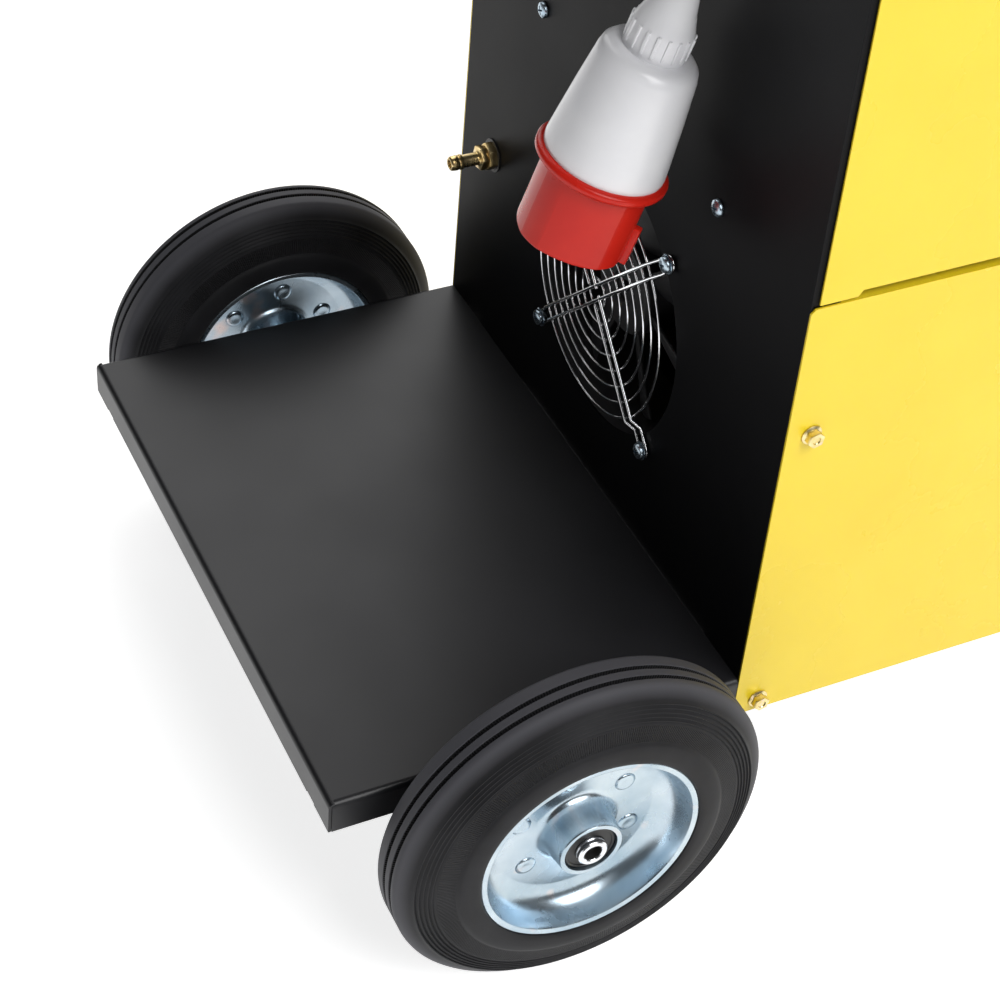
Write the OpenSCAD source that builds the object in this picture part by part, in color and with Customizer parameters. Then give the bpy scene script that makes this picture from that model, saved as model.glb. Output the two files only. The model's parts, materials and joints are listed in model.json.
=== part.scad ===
// Three-phase gas-shielded welding machine on wheels.
// The front faces -Y, the rear panel and the gas cylinder platform face +Y, and the floor is Z = 0.
// Left is -X, the side of the wire compartment's door.

/* [Body] */
// Width over the side panels
body_w = 450; // [390:1:560]
// Depth from the front panel to the rear panel
body_d = 600; // [560:1:760]
// Height of the roof above the floor
body_top = 828; // [818:1:980]
// Thickness of the side, rear and front sheets
sheet = 1.5; // [1:0.1:2]
// Height of the seam between the lower panels and the door, above the platform
seam_h = 300; // [290:1:310]
// How far the side panels reach below the platform
panel_drop = 33; // [25:1:40]
// Clear width of the visible gap at a panel seam
seam_gap = 2; // [1.5:0.1:3]
// How far the door and the upper side panel stop short of the rear face
upper_inset = 5; // [3:0.5:8]

/* [Platform] */
// Height of the platform's top above the floor
plat_h = 166; // [160:1:190]
// Depth of the gas cylinder platform behind the rear panel
plat_d = 284; // [240:1:340]
// Height of its folded lip
plat_lip = 25; // [18:1:35]
// Thickness of its steel
plat_sheet = 2; // [1.5:0.1:3]

/* [Rear wheels] */
// Radius of the rear tyres
wheel_r = 127; // [100:0.5:140]
// Width of the tyres
tyre_w = 58; // [48:1:70]
// Radius where the rim meets the tyre
rim_r = 75; // [64:1:82]
// Radius of the axle
axle_r = 10; // [8:0.5:12]
// How far the axle is behind the rear panel
axle_back = 134; // [126:1:150]
// Space between a side panel and its tyre
wheel_gap = 6; // [5:1:20]

/* [Casters] */
// Radius of the caster wheels
caster_r = 50; // [44:0.5:54]
// Width of the caster wheels
caster_w = 32; // [26:1:38]
// Trail of the caster wheels
caster_trail = 37; // [28:1:45]

/* [Fan] */
// Height of the fan's centre above the platform
fan_h = 153; // [145:1:165]
// Half of the side of the guard's screw square
guard_half = 76.5; // [74:0.5:80]
// Radius of the guard's outer ring
guard_r = 85; // [80:0.5:88]
// Radius of the hole in the rear panel
fan_hole_r = 98; // [94:0.5:100]

/* [Wire feeder] */
// Radius of the spool hub
hub_r = 25; // [20:0.5:25.5]
// Length of the spool hub
hub_l = 100; // [90:1:110]
// Radius of the feed rolls
roll_r = 15; // [12:0.5:18]

/* [Mains plug] */
// Outer radius of the plug's shroud
shroud_r = 35.5; // [32:0.5:38]
// Length of the shroud up to the collar
shroud_l = 50; // [45:1:56]
// Radius of the collar
collar_r = 42.5; // [40:0.5:44]
// Radius of the mains cord
cord_r = 7; // [6:0.5:8]

/* [Hidden] */
$fn = 48;

// Fits
run_gap = 0.05;      // radial clearance of a shaft that turns
clear = 0.5;         // clearance between pieces that only pass each other
screw_clear = 0.3;   // radial clearance of a screw in its hole

// Levels
plat_top = plat_h;
base_z = plat_top - panel_drop;
seam_z = plat_top + seam_h;
fan_z = plat_top + fan_h;
tray_z = base_z + 1.5;
tray_t = 2;
deck_z = seam_z + 12;
side_top = body_top - sheet - 2;

// The push handle is what stands furthest forward
handle_r = 14;
handle_reach = 46;
front_out = handle_reach + handle_r;
rear_y = (body_d + front_out - plat_d) / 2;
front_y = rear_y - body_d;
half_w = body_w / 2;
inner_w = half_w - sheet;

// Rear wheels
axle_y = rear_y + axle_back;
axle_z = wheel_r;
tyre_in = half_w + wheel_gap;
tyre_mid = tyre_in + tyre_w / 2;
tyre_out = tyre_in + tyre_w;
hub_tube_r = 20;
bracket_x = half_w - 45;
bracket_t = 5;

// Casters
caster_x = half_w - 60;
caster_y = front_y + 75;
caster_plate_t = 3;
crown_z = caster_r * 2 + 14;
kingpin_r = 6;
caster_axle_r = 5;
fork_t = 3;

// Wire compartment
wall_x = -20;
spool_y = rear_y - 170;
spool_z = deck_z + 165;
spindle_r = 12;
feed_y = front_y + 85;
roll_z = deck_z + 85;
roll_x = wall_x - 27;
roll_w = 10;
feed_plate_t = 10;
roll_shaft_r = 4;
nip = 0.8;
arm_pivot_dy = 42;
arm_x = roll_x - roll_w / 2 - 1;
knob_dy = -34;

// Sockets on the front: the torch's is on the wire's line
torch_x = roll_x;
torch_z = roll_z + roll_r + nip / 2;
torch_neck_r = 16;
earth_xs = [60, 130];
earth_z = deck_z - 60;

// Door
hinge_r = 4;
hinge_pin_r = 2;
hinge_l = 48;
hinge_x = -half_w - hinge_r;
hinge_z = seam_z + 3;
hinge_ys = [rear_y - 190, front_y + 110];
door_rear = rear_y - upper_inset;
door_front = front_y + seam_gap;
relief_y = rear_y - 33;
relief_h = 4;
door_lip = 12;
latch_y = (door_rear + door_front) / 2;
latch_z = side_top - 30;
latch_shaft_r = 5;

// Rear panel fittings
gland_x = 80;
gland_z = 758;
nipple_x = half_w - 50;
nipple_z = plat_top + 149;
screw_z = plat_top + 299;
screw_x = 118;
bolt_y = rear_y - 17;
bolt_zs = [plat_top - 22.5, plat_top + 204];
thread_r = 3;

// Cord
CORD_LEAD = [
    [80, 220, 758], [80, 236, 758], [81, 254, 753], [84, 269, 740], [90, 278, 720],
    [97, 279, 697], [107, 274, 676], [121, 265, 662], [138, 254, 658], [154, 243, 666],
    [166, 233, 684], [173, 225, 709], [177, 218, 738], [178, 214, 766], [177.5, 213, 791],
    [176.5, 208, 815], [174.5, 195, 835], [171, 175, 848], [166.5, 151, 853], [162.5, 126, 850],
    [160, 102, 843], [159, 84, 837], [159, 74, 835.5]
];
CORD_TAIL = [
    [-19, 74, 849], [-25, 98, 850], [-36, 120, 852], [-50, 137, 853], [-61, 152, 853],
    [-74, 175, 848], [-82, 195, 835], [-87, 208, 815], [-90, 213, 791], [-92, 210, 763],
    [-94, 206, 733], [-95.5, 202, 703], [-96, 201, 678], [-95.5, 202, 658], [-92.5, 208, 632],
    [-90, 216, 603]
];
coil_at = [70, 30, 828];
coil_mid = 75;
coil_turns_wide = 3;
coil_layers = 2;

// The plug hangs from the end of the cord
plug_end = CORD_TAIL[len(CORD_TAIL) - 1];
plug_tilt = 16.3;    // away from the vertical, degrees
plug_turn = 17.8;    // of the tilt, from +Y towards +X, degrees
collar_t = 6.7;
plug_body_l = 75;
plug_neck_l = 43;
pin_pcr = 20;

module black() color([0.05, 0.05, 0.055]) children();
module yellow() color([0.98, 0.87, 0.18]) children();
module zinc() color([0.72, 0.76, 0.8]) children();

// A box between two corners
module block(low, high) translate(low) cube(high - low);
// Round bars along X and along Y, centred on the given point
module bar_x(at, l, r) translate(at) rotate([0, 90, 0]) cylinder(h = l, r = r, center = true);
module bar_y(at, l, r) translate(at) rotate([90, 0, 0]) cylinder(h = l, r = r, center = true);
module pair() { children(); mirror([1, 0, 0]) children(); }

// A folded edge: a quarter bend and its lip, extruded along +X from the origin.
// The sheet arrives along +Y at height 0 and the lip hangs down.
module fold(l, lip, t, r) {
    rotate([90, 0, 90]) linear_extrude(l) {
        translate([0, -r]) difference() {
            intersection() { circle(r); square(r); }
            circle(r - t);
        }
        translate([r - t, -lip]) square([t, lip - r]);
    }
}

module base_tray() black() {
    w = inner_w - clear;
    y0 = front_y + sheet + clear;
    y1 = rear_y - sheet - clear;
    difference() {
        block([-w, y0, tray_z], [w, y1, tray_z + 30]);
        block([-w + tray_t, y0 + tray_t, tray_z + tray_t], [w - tray_t, y1 - tray_t, tray_z + 31]);
        for (s = [-1, 1], z = [bolt_zs[0]]) bar_x([s * w, bolt_y, z], 20, thread_r + screw_clear);
    }
}

module rear_panel() black() {
    z0 = tray_z;
    z1 = body_top - sheet - clear;
    ret = 15;
    difference() {
        union() {
            block([-inner_w, rear_y - sheet, z0], [inner_w, rear_y, z1]);
            pair() block([inner_w - clear - sheet, rear_y - ret, seam_z + clear],
                         [inner_w - clear, rear_y - sheet, z1]);
        }
        bar_y([0, rear_y, fan_z], 20, fan_hole_r);
        for (x = [-1, 1], z = [-1, 1])
            bar_y([x * guard_half, rear_y, fan_z + z * guard_half], 20, thread_r + screw_clear);
        bar_y([gland_x, rear_y, gland_z], 20, 10 + clear);
        bar_y([nipple_x, rear_y, nipple_z], 20, 6 + screw_clear);
        for (s = [-1, 1]) bar_y([s * screw_x, rear_y, screw_z], 20, thread_r + screw_clear);
    }
}

module cylinder_platform() black() {
    y0 = rear_y + 0.5;
    bend = 4;
    y1 = rear_y + plat_d;
    slit = 3;
    block([-half_w + bend, y0, plat_top - plat_sheet], [half_w - bend, y1 - bend, plat_top]);
    translate([-half_w + bend + slit, y1 - bend, plat_top])
        fold(body_w - 2 * (bend + slit), plat_lip, plat_sheet, bend);
    pair() translate([-half_w + bend, y0, plat_top]) rotate([0, 0, 90])
        fold(plat_d - 0.5 - bend - slit, plat_lip, plat_sheet, bend);
}

module axle_brackets() black() {
    foot_y = rear_y - 110;
    pair() difference() {
        union() {
            block([bracket_x - bracket_t, foot_y, tray_z - 45], [bracket_x, axle_y + 45, tray_z]);
            block([bracket_x - bracket_t, rear_y + clear, tray_z],
                  [bracket_x, axle_y + 45, plat_top - plat_sheet]);
            block([bracket_x - 30, foot_y, tray_z - bracket_t], [bracket_x - bracket_t, rear_y - 10, tray_z]);
            block([bracket_x - 30, rear_y + 10, plat_top - plat_sheet - bracket_t],
                  [bracket_x - bracket_t, axle_y + 45, plat_top - plat_sheet]);
            bar_x([bracket_x - bracket_t / 2, axle_y, axle_z], bracket_t, 24);
        }
        bar_x([bracket_x, axle_y, axle_z], 40, axle_r + run_gap);
    }
}

module rear_axle() zinc() {
    end = tyre_out + 1;
    bar_x([0, axle_y, axle_z], 2 * end, axle_r);
    // A collar inside each wheel and a clip outside it
    pair() {
        bar_x([tyre_in - 2, axle_y, axle_z], 4, axle_r + 6);
        bar_x([end - 1.8, axle_y, axle_z], 1.2, axle_r + 4);
    }
}

module lower_side() {
    lip = 14;
    corner = 3;
    y0 = front_y;
    top = seam_z;
    difference() {
        union() {
            translate([-half_w, 0, 0]) rotate([90, 0, 90]) linear_extrude(sheet)
                polygon([[y0, base_z], [rear_y, base_z], [rear_y, top - corner], [rear_y - corner, top], [y0, top]]);
            block([-inner_w, y0 + 20, top - sheet], [-inner_w + lip, rear_y - 20, top]);
        }
        for (z = bolt_zs) bar_x([-half_w, bolt_y, z], 20, thread_r + screw_clear);
    }
}
module lower_side_left() yellow() lower_side();
module lower_side_right() yellow() mirror([1, 0, 0]) lower_side();

module upper_side_right() yellow() {
    lip = 14;
    x1 = half_w;
    block([x1 - sheet, front_y, seam_z + seam_gap], [x1, rear_y - upper_inset, side_top]);
    block([x1 - lip, front_y + 20, seam_z + seam_gap], [x1 - sheet, rear_y - 20, seam_z + seam_gap + sheet]);
}

module top_cover() black() {
    lip = 12;
    drop = 18;
    w = inner_w - clear;
    y0 = front_y;
    z0 = body_top - sheet;
    block([-half_w, y0, z0], [half_w, rear_y, body_top]);
    pair() block([half_w - sheet, y0, body_top], [half_w, rear_y - 30, body_top + lip]);
    block([-half_w + sheet, y0, body_top], [half_w - sheet, y0 + sheet, body_top + lip]);
    block([-w + 20, y0 + 8, z0 - drop], [w - 20, y0 + 8 + sheet, z0]);
    block([w - sheet, y0 + 30, z0 - drop], [w, rear_y - 30, z0]);
}

module front_panel() black() {
    z0 = tray_z;
    z1 = deck_z + 62;
    slots = 9;
    slot_w = body_w - 130;
    ret = 16;
    difference() {
        union() {
            block([-inner_w, front_y, z0], [inner_w, front_y + sheet, z1]);
            pair() block([inner_w - sheet, front_y + sheet, z0 + 34], [inner_w, front_y + ret, z1]);
        }
        for (i = [0 : slots - 1])
            block([-slot_w / 2, front_y - 1, z0 + 50 + i * 17], [slot_w / 2, front_y + 3, z0 + 57 + i * 17]);
        for (x = earth_xs) bar_y([x, front_y, earth_z], 20, 12 + clear);
    }
}

// The upper front: a plate with a folded edge that carries the controls
panel_z0 = deck_z + 62 + seam_gap;
knob_shaft_r = 3;
voltage_at = [90, panel_z0 + 110];
fine_at = [150, panel_z0 + 110];
speed_at = [-90, panel_z0 + 110];
window_at = [0, panel_z0 + 120];

module control_panel() color([0.13, 0.13, 0.14]) {
    z1 = side_top;
    ret = 16;
    difference() {
        union() {
            block([-inner_w, front_y, panel_z0], [inner_w, front_y + sheet, z1]);
            pair() block([inner_w - sheet, front_y + sheet, panel_z0], [inner_w, front_y + ret, z1]);
        }
        for (p = [voltage_at, fine_at, speed_at])
            bar_y([p[0], front_y, p[1]], 20, knob_shaft_r + run_gap);
        bar_y([torch_x, front_y, torch_z], 20, torch_neck_r + clear);
        translate([window_at[0], front_y, window_at[1]]) cube([62, 20, 24], center = true);
    }
    // The display's frame, set into its window
    translate([window_at[0], front_y + 1, window_at[1]]) difference() {
        cube([61, 6, 23], center = true);
        translate([0, -4, 0]) cube([52, 6, 15], center = true);
    }
}

module bulkhead() color([0.62, 0.64, 0.66]) {
    y0 = front_y + 22;
    y1 = rear_y - 18;
    x0 = -inner_w + 16;
    lip = 14;
    difference() {
        union() {
            block([wall_x, y0, deck_z - sheet], [wall_x + sheet, y1, body_top - 26]);
            block([x0, y0, deck_z - sheet], [wall_x, y1, deck_z]);
            block([x0, y0, deck_z - 11], [x0 + sheet, y1, deck_z - sheet]);
            block([wall_x + sheet, y0, body_top - 26 - sheet], [wall_x + sheet + lip, y1, body_top - 26]);
        }
        bar_x([wall_x, feed_y, roll_z], 20, 11);
    }
}

module push_handle() color([0.08, 0.08, 0.085]) {
    x = half_w - 50;
    z = body_top - 45;
    bend = 32;
    y = front_y - handle_reach;
    bar_x([0, y, z], 2 * (x - bend), handle_r);
    pair() {
        translate([x - bend, y + bend, z]) rotate([0, 0, -90])
            rotate_extrude(angle = 90) translate([bend, 0]) circle(handle_r);
        bar_y([x, (front_y + y + bend) / 2, z], handle_reach - bend, handle_r);
        bar_y([x, front_y - 2, z], 4, handle_r + 8);
    }
}

module cylinder_bracket() black() {
    w = 45;
    z = body_top - 85;
    out = 38;
    t = 3;
    difference() {
        union() {
            block([-w, rear_y, z - 30], [w, rear_y + t, z + 30]);
            pair() block([w - t, rear_y + t, z - 18], [w, rear_y + out, z + 18]);
            // The saddle that the cylinder leans on
            difference() {
                block([-w + t, rear_y + t, z - t / 2], [w - t, rear_y + out, z + t / 2]);
                translate([0, rear_y + out + 92, z]) cylinder(h = 20, r = 110, center = true);
            }
        }
        pair() block([w - 10, rear_y + out - 16, z - 12], [w + 5, rear_y + out - 8, z + 12]);
    }
}

module feeder_door() yellow() {
    z0 = seam_z + seam_gap;
    difference() {
        union() {
            translate([-half_w, 0, 0]) rotate([90, 0, 90]) linear_extrude(sheet)
                polygon([[door_front, z0 + relief_h], [relief_y, z0 + relief_h], [relief_y + 3, z0],
                         [door_rear, z0], [door_rear, side_top], [door_front, side_top]]);
            block([-inner_w, door_front + 20, side_top - 2 - sheet],
                  [-inner_w + door_lip, door_rear - 20, side_top - 2]);
            block([-inner_w, door_front + 20, z0 + relief_h + 16],
                  [-inner_w + door_lip, door_front + 20 + sheet, side_top - 2]);
            block([-inner_w, door_rear - 20 - sheet, z0 + relief_h + 16],
                  [-inner_w + door_lip, door_rear - 20, side_top - 2]);
        }
        bar_x([-half_w, latch_y, latch_z], 20, latch_shaft_r + run_gap);
    }
}

module at_hinges() for (y = hinge_ys) translate([hinge_x, y, hinge_z]) children();
module door_hinge_fixed() zinc() at_hinges() {
    for (s = [-1, 1]) bar_y([0, s * hinge_l / 3, 0], hinge_l / 3, hinge_r);
    bar_y([0, 0, 0], hinge_l, hinge_pin_r);
    for (s = [-1, 1])
        block([hinge_r - 2, s * hinge_l / 3 - hinge_l / 6, -12], [hinge_r, s * hinge_l / 3 + hinge_l / 6, 0]);
    block([hinge_r - 2, -hinge_l / 2, -26], [hinge_r, hinge_l / 2, -hinge_r - 1]);
}
module door_hinge_moving() zinc() at_hinges() difference() {
    l = hinge_l / 3 - 0.4;
    union() {
        bar_y([0, 0, 0], l, hinge_r);
        block([hinge_r - 2, -l / 2, 0], [hinge_r, l / 2, 12]);
        block([hinge_r - 2, -hinge_l / 2, hinge_r + 1], [hinge_r, hinge_l / 2, 26]);
    }
    bar_y([0, 0, 0], hinge_l, hinge_pin_r + run_gap);
}

module door_latch() color([0.1, 0.1, 0.1]) {
    x = -half_w;
    bar_x([x - 3.2, latch_y, latch_z], 6, 17);
    block([x - 16, latch_y - 15, latch_z - 4], [x - 6, latch_y + 15, latch_z + 4]);
    bar_x([x + 4, latch_y, latch_z], 9, latch_shaft_r);
    block([x + 5, latch_y - 7, latch_z - 7], [x + 8, latch_y + 7, latch_z + 14]);
}

module spool_spindle() color([0.75, 0.76, 0.78]) {
    l = hub_l + 16;
    bar_x([wall_x - 2, spool_y, spool_z], 4, 30);
    bar_x([wall_x - l / 2, spool_y, spool_z], l, spindle_r);
    bar_x([wall_x - l - 7, spool_y, spool_z], 14, 19);
}

module spool_hub() color([0.12, 0.12, 0.13]) {
    x0 = wall_x - 8;
    difference() {
        union() {
            bar_x([x0 - 2, spool_y, spool_z], 4, 40);
            bar_x([x0 - 4 - hub_l / 2, spool_y, spool_z], hub_l, hub_r);
        }
        bar_x([x0, spool_y, spool_z], 3 * hub_l, spindle_r + run_gap);
    }
}

module feed_plate() color([0.7, 0.72, 0.74]) difference() {
    x1 = wall_x;
    union() {
        block([x1 - feed_plate_t, feed_y - 48, roll_z - 48], [x1, feed_y + 56, roll_z + 62]);
        // Inlet and outlet guides on the wire's line
        bar_y([roll_x, feed_y + 47, torch_z], 18, 5);
        block([roll_x - 4, feed_y + 38, torch_z - 12], [x1 - feed_plate_t, feed_y + 56, torch_z - 4]);
        bar_y([roll_x, feed_y - 32, torch_z], 20, 5);
        block([roll_x - 4, feed_y - 42, torch_z - 12], [x1 - feed_plate_t, feed_y - 24, torch_z - 4]);
    }
    bar_y([roll_x, feed_y, torch_z], 300, 1.5);
    bar_x([x1, feed_y, roll_z], 60, roll_shaft_r + run_gap);
    bar_x([x1, feed_y + arm_pivot_dy, torch_z + roll_r], 60, 4);
}

module feed_motor() color([0.2, 0.2, 0.22]) {
    x0 = wall_x + sheet;
    block([x0, feed_y - 30, roll_z - 30], [x0 + 34, feed_y + 30, roll_z + 30]);
    bar_x([x0 + 34 + 45, feed_y, roll_z], 90, 29);
    bar_x([x0 + 34 + 93, feed_y, roll_z], 6, 10);
}

module grooved_roll() difference() {
    rotate([0, 90, 0]) cylinder(h = roll_w, r = roll_r, center = true);
    rotate([0, 90, 0]) rotate_extrude() translate([roll_r, 0]) circle(0.5, $fn = 16);
}

module drive_roll() color([0.8, 0.8, 0.78]) {
    translate([roll_x, feed_y, roll_z]) grooved_roll();
    l = wall_x - roll_x - 1;
    bar_x([roll_x + l / 2, feed_y, roll_z], l, roll_shaft_r);
    bar_x([roll_x - roll_w / 2 - 3, feed_y, roll_z], 6, 9);
}

roller_z = roll_z + 2 * roll_r + nip;
pivot_z = torch_z + roll_r;
module pressure_arm() color([0.16, 0.16, 0.17]) {
    x0 = arm_x - 8;
    pivot_y = feed_y + arm_pivot_dy;
    difference() {
        union() {
            block([x0, feed_y - 44, roller_z - 7], [arm_x, pivot_y, roller_z + 8]);
            bar_x([(x0 + arm_x) / 2, pivot_y, pivot_z], 8, 11);
            block([x0, feed_y - 46, roller_z - 7], [roll_x + 6, feed_y - 22, roller_z + 8]);
        }
        bar_x([x0, pivot_y, pivot_z], 40, 4 + run_gap);
        bar_x([x0, feed_y, roller_z], 40, 3 + run_gap);
        translate([roll_x - 3, feed_y + knob_dy, roller_z]) cylinder(h = 40, r = 3 + run_gap, center = true);
        bar_x([roll_x + 2, feed_y, roller_z], roll_w + 6, roll_r + 2);
    }
}

module pressure_roller() color([0.8, 0.8, 0.78]) {
    translate([roll_x, feed_y, roller_z]) grooved_roll();
    bar_x([arm_x - 5, feed_y, roller_z], 13, 3);
}

module tension_knob() color([0.75, 0.1, 0.08]) translate([roll_x - 3, feed_y + knob_dy, roller_z]) {
    cylinder(h = 14, r = 3, center = true);
    translate([0, 0, 8.5]) cylinder(h = 6, r = 7);
    translate([0, 0, 14.5]) cylinder(h = 26, r = 9.5);
}

module transformer_core() color([0.35, 0.36, 0.38]) {
    w = 240;
    d = 70;
    h = 200;
    leg = 40;
    z0 = tray_z + tray_t + 14;
    y0 = front_y + 110;
    difference() {
        block([-w / 2, y0, z0], [w / 2, y0 + d, z0 + h]);
        for (s = [-1, 1]) block([s * 50 - 30, y0 - 1, z0 + leg], [s * 50 + 30, y0 + d + 1, z0 + h - leg]);
    }
    for (s = [-1, 1]) block([-w / 2, y0 + d / 2 + s * (d / 2 - 10) - 10, z0 - 14],
                            [w / 2, y0 + d / 2 + s * (d / 2 - 10) + 10, z0]);
}

module transformer_coils() color([0.72, 0.4, 0.2]) {
    z0 = tray_z + tray_t + 14 + 42;
    y0 = front_y + 110;
    for (x = [-100, 0, 100]) translate([x, y0 + 35, z0]) difference() {
        translate([0, 0, 58]) cube([78, 130, 116], center = true);
        translate([0, 0, 58]) cube([41, 71, 130], center = true);
    }
}

module choke() color([0.6, 0.35, 0.2]) {
    z0 = tray_z + tray_t;
    y0 = front_y + 300;
    block([-150, y0, z0], [-60, y0 + 70, z0 + 20]);
    block([-145, y0 + 5, z0 + 20], [-65, y0 + 65, z0 + 90]);
    block([-150, y0, z0 + 90], [-60, y0 + 70, z0 + 110]);
}

module rectifier() color([0.75, 0.77, 0.8]) {
    z0 = tray_z + tray_t;
    y0 = front_y + 310;
    fins = 9;
    block([-10, y0, z0], [150, y0 + 90, z0 + 10]);
    for (i = [0 : fins - 1]) block([-10 + i * 19, y0, z0 + 10], [-2 + i * 19, y0 + 90, z0 + 90]);
}

module control_board() color([0.1, 0.4, 0.2]) {
    x = inner_w - 60;
    z0 = deck_z + 40;
    block([x, front_y + 120, z0], [x + 2, front_y + 320, z0 + 160]);
    block([x - 50, front_y + 140, z0 + 20], [x, front_y + 200, z0 + 90]);
    for (y = [230, 270, 300]) bar_x([x - 14, front_y + y, z0 + 60], 28, 11);
}

duct_l = 62;
motor_r = 32;
module fan_frame() color([0.14, 0.14, 0.15]) {
    y1 = rear_y - sheet;
    yb = y1 - duct_l;
    difference() {
        union() {
            bar_y([0, y1 - duct_l / 2, fan_z], duct_l, fan_hole_r + 3);
            translate([0, y1 - 2, fan_z]) cube([2 * guard_half + 24, 4, 2 * guard_half + 24], center = true);
        }
        bar_y([0, y1 - duct_l / 2, fan_z], duct_l + 10, fan_hole_r);
        for (x = [-1, 1], z = [-1, 1])
            bar_y([x * guard_half, y1, fan_z + z * guard_half], 40, thread_r + screw_clear);
    }
    for (a = [45 : 90 : 315]) translate([0, yb, fan_z]) rotate([0, a, 0])
        block([motor_r - 2, 0, -4], [fan_hole_r + 1, 5, 4]);
    bar_y([0, yb + 9, fan_z], 18, motor_r);
    bar_y([0, yb + 28, fan_z], 30, roll_shaft_r);
}

module fan_rotor() color([0.1, 0.1, 0.11]) translate([0, rear_y - sheet - duct_l + 20, fan_z]) {
    blades = 7;
    tip = fan_hole_r - 6;
    rotate([-90, 0, 0]) difference() {
        union() {
            cylinder(h = 30, r = motor_r + 2);
            for (i = [0 : blades - 1]) rotate([0, 0, i * 360 / blades])
                translate([(motor_r + tip) / 2, 0, 16]) rotate([32, 0, 0])
                    cube([tip - motor_r, 44, 2], center = true);
        }
        translate([0, 0, -1]) cylinder(h = 24, r = roll_shaft_r + run_gap);
    }
}

rings = 8;
ring_wire = 0.8;
spoke_wire = 1.2;
spoke_gap = 4.6;
guard_y = rear_y + spoke_wire + 0.1;
module fan_guard() color([0.85, 0.86, 0.88]) translate([0, guard_y, fan_z]) {
    reach = guard_half * sqrt(2);
    pitch = guard_r / rings;
    for (i = [1 : rings]) translate([0, spoke_wire + ring_wire - 0.3, 0]) rotate([90, 0, 0])
        rotate_extrude($fn = 64) translate([i * pitch, 0]) circle(ring_wire, $fn = 8);
    for (a = [45, 135]) rotate([0, a, 0]) {
        for (s = [-1, 1]) {
            translate([0, 0, s * spoke_gap]) rotate([0, 90, 0])
                cylinder(h = 2 * reach, r = spoke_wire, center = true, $fn = 16);
            translate([s * reach, 0, 0]) rotate([90, 0, 0]) rotate([0, 0, s * 90 - 180])
                rotate_extrude(angle = 180) translate([spoke_gap, 0]) circle(spoke_wire, $fn = 12);
        }
    }
}

module guard_screws() zinc() for (x = [-1, 1], z = [-1, 1])
    translate([x * guard_half, rear_y, fan_z + z * guard_half]) {
        bar_y([0, -4, 0], 12, thread_r);
        bar_y([0, 2 * spoke_wire + 0.4 + 0.6, 0], 1.2, 6.5);
        bar_y([0, 2 * spoke_wire + 1.6 + 1.5, 0], 3, 5.6);
    }

module gas_nipple() color([0.78, 0.6, 0.28]) translate([nipple_x, rear_y, nipple_z]) rotate([-90, 0, 0])
    difference() {
        union() {
            cylinder(h = 7, r = 10.5, $fn = 6);
            translate([0, 0, 7]) cylinder(h = 5, r = 9.8, $fn = 6);
            translate([0, 0, -14]) cylinder(h = 15, r = 6);
            translate([0, 0, -9 - sheet]) cylinder(h = 9, r = 9.8, $fn = 6);
            translate([0, 0, 12]) cylinder(h = 22, r = 3.9);
            for (z = [22, 27.5]) translate([0, 0, z]) cylinder(h = 4.5, r1 = 5, r2 = 4);
        }
        translate([0, 0, -20]) cylinder(h = 60, r = 2.2);
    }

module gas_valve() color([0.7, 0.6, 0.35]) {
    y = rear_y - 55;
    difference() {
        block([nipple_x - 14, y - 15, nipple_z - 14], [nipple_x + 14, y + 15, nipple_z + 14]);
        bar_y([nipple_x, y, nipple_z], 60, 3);
    }
    block([nipple_x - 16, y - 14, nipple_z + 14], [nipple_x + 16, y + 14, nipple_z + 50]);
    block([nipple_x - 14, y - 5, nipple_z - 20], [inner_w - 0.5, y + 5, nipple_z - 14]);
}

module cable_gland() color([0.09, 0.09, 0.1]) translate([gland_x, rear_y, gland_z]) rotate([-90, 0, 0])
    difference() {
        union() {
            cylinder(h = 8, r = 15, $fn = 6);
            translate([0, 0, -16]) cylinder(h = 17, r = 10);
            translate([0, 0, -8 - sheet]) cylinder(h = 6, r = 15, $fn = 6);
            translate([0, 0, 8]) cylinder(h = 14, r = 13);
            translate([0, 0, 22]) cylinder(h = 10, r1 = 12, r2 = 9);
        }
        translate([0, 0, -20]) cylinder(h = 40, r = cord_r);
    }

// A tube with eight sides swept along a list of points
function unit(v) = v / norm(v);
function along(p, i) = unit(p[min(i + 1, len(p) - 1)] - p[max(i - 1, 0)]);
function side_of(t, s) = unit(s - (s * t) * t);
function frames(p, i = 0, s = [1, 0.1, 0.05]) =
    let (n = side_of(along(p, i), s)) i == len(p) - 1 ? [n] : concat([n], frames(p, i + 1, n));
module tube(p, r) {
    sides = 8;
    n = len(p);
    f = frames(p);
    rings_at = [for (i = [0 : n - 1], k = [0 : sides - 1])
        let (t = along(p, i), b = cross(t, f[i]), a = 360 * k / sides)
        p[i] + r * (cos(a) * f[i] + sin(a) * b)];
    walls = [for (i = [0 : n - 2], k = [0 : sides - 1])
        let (m = (k + 1) % sides)
        [i * sides + k, (i + 1) * sides + k, (i + 1) * sides + m, i * sides + m]];
    caps = [[for (k = [0 : sides - 1]) k], [for (k = [sides - 1 : -1 : 0]) (n - 1) * sides + k]];
    polyhedron(rings_at, concat(walls, caps));
}

module cord_lead() color([0.06, 0.06, 0.06]) tube(CORD_LEAD, cord_r);
module cord_tail() color([0.06, 0.06, 0.06]) tube(CORD_TAIL, cord_r);
module cord_coil() color([0.06, 0.06, 0.06]) translate(coil_at) {
    r0 = coil_mid - coil_turns_wide * cord_r;
    r1 = coil_mid + coil_turns_wide * cord_r;
    h = 2 * coil_layers * cord_r;
    c = 4;
    rotate_extrude() polygon([[r0, c], [r0 + c, 0], [r1 - c, 0], [r1, c], [r1, h - c], [r1 - c, h],
                              [r0 + c, h], [r0, h - c]]);
}

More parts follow.
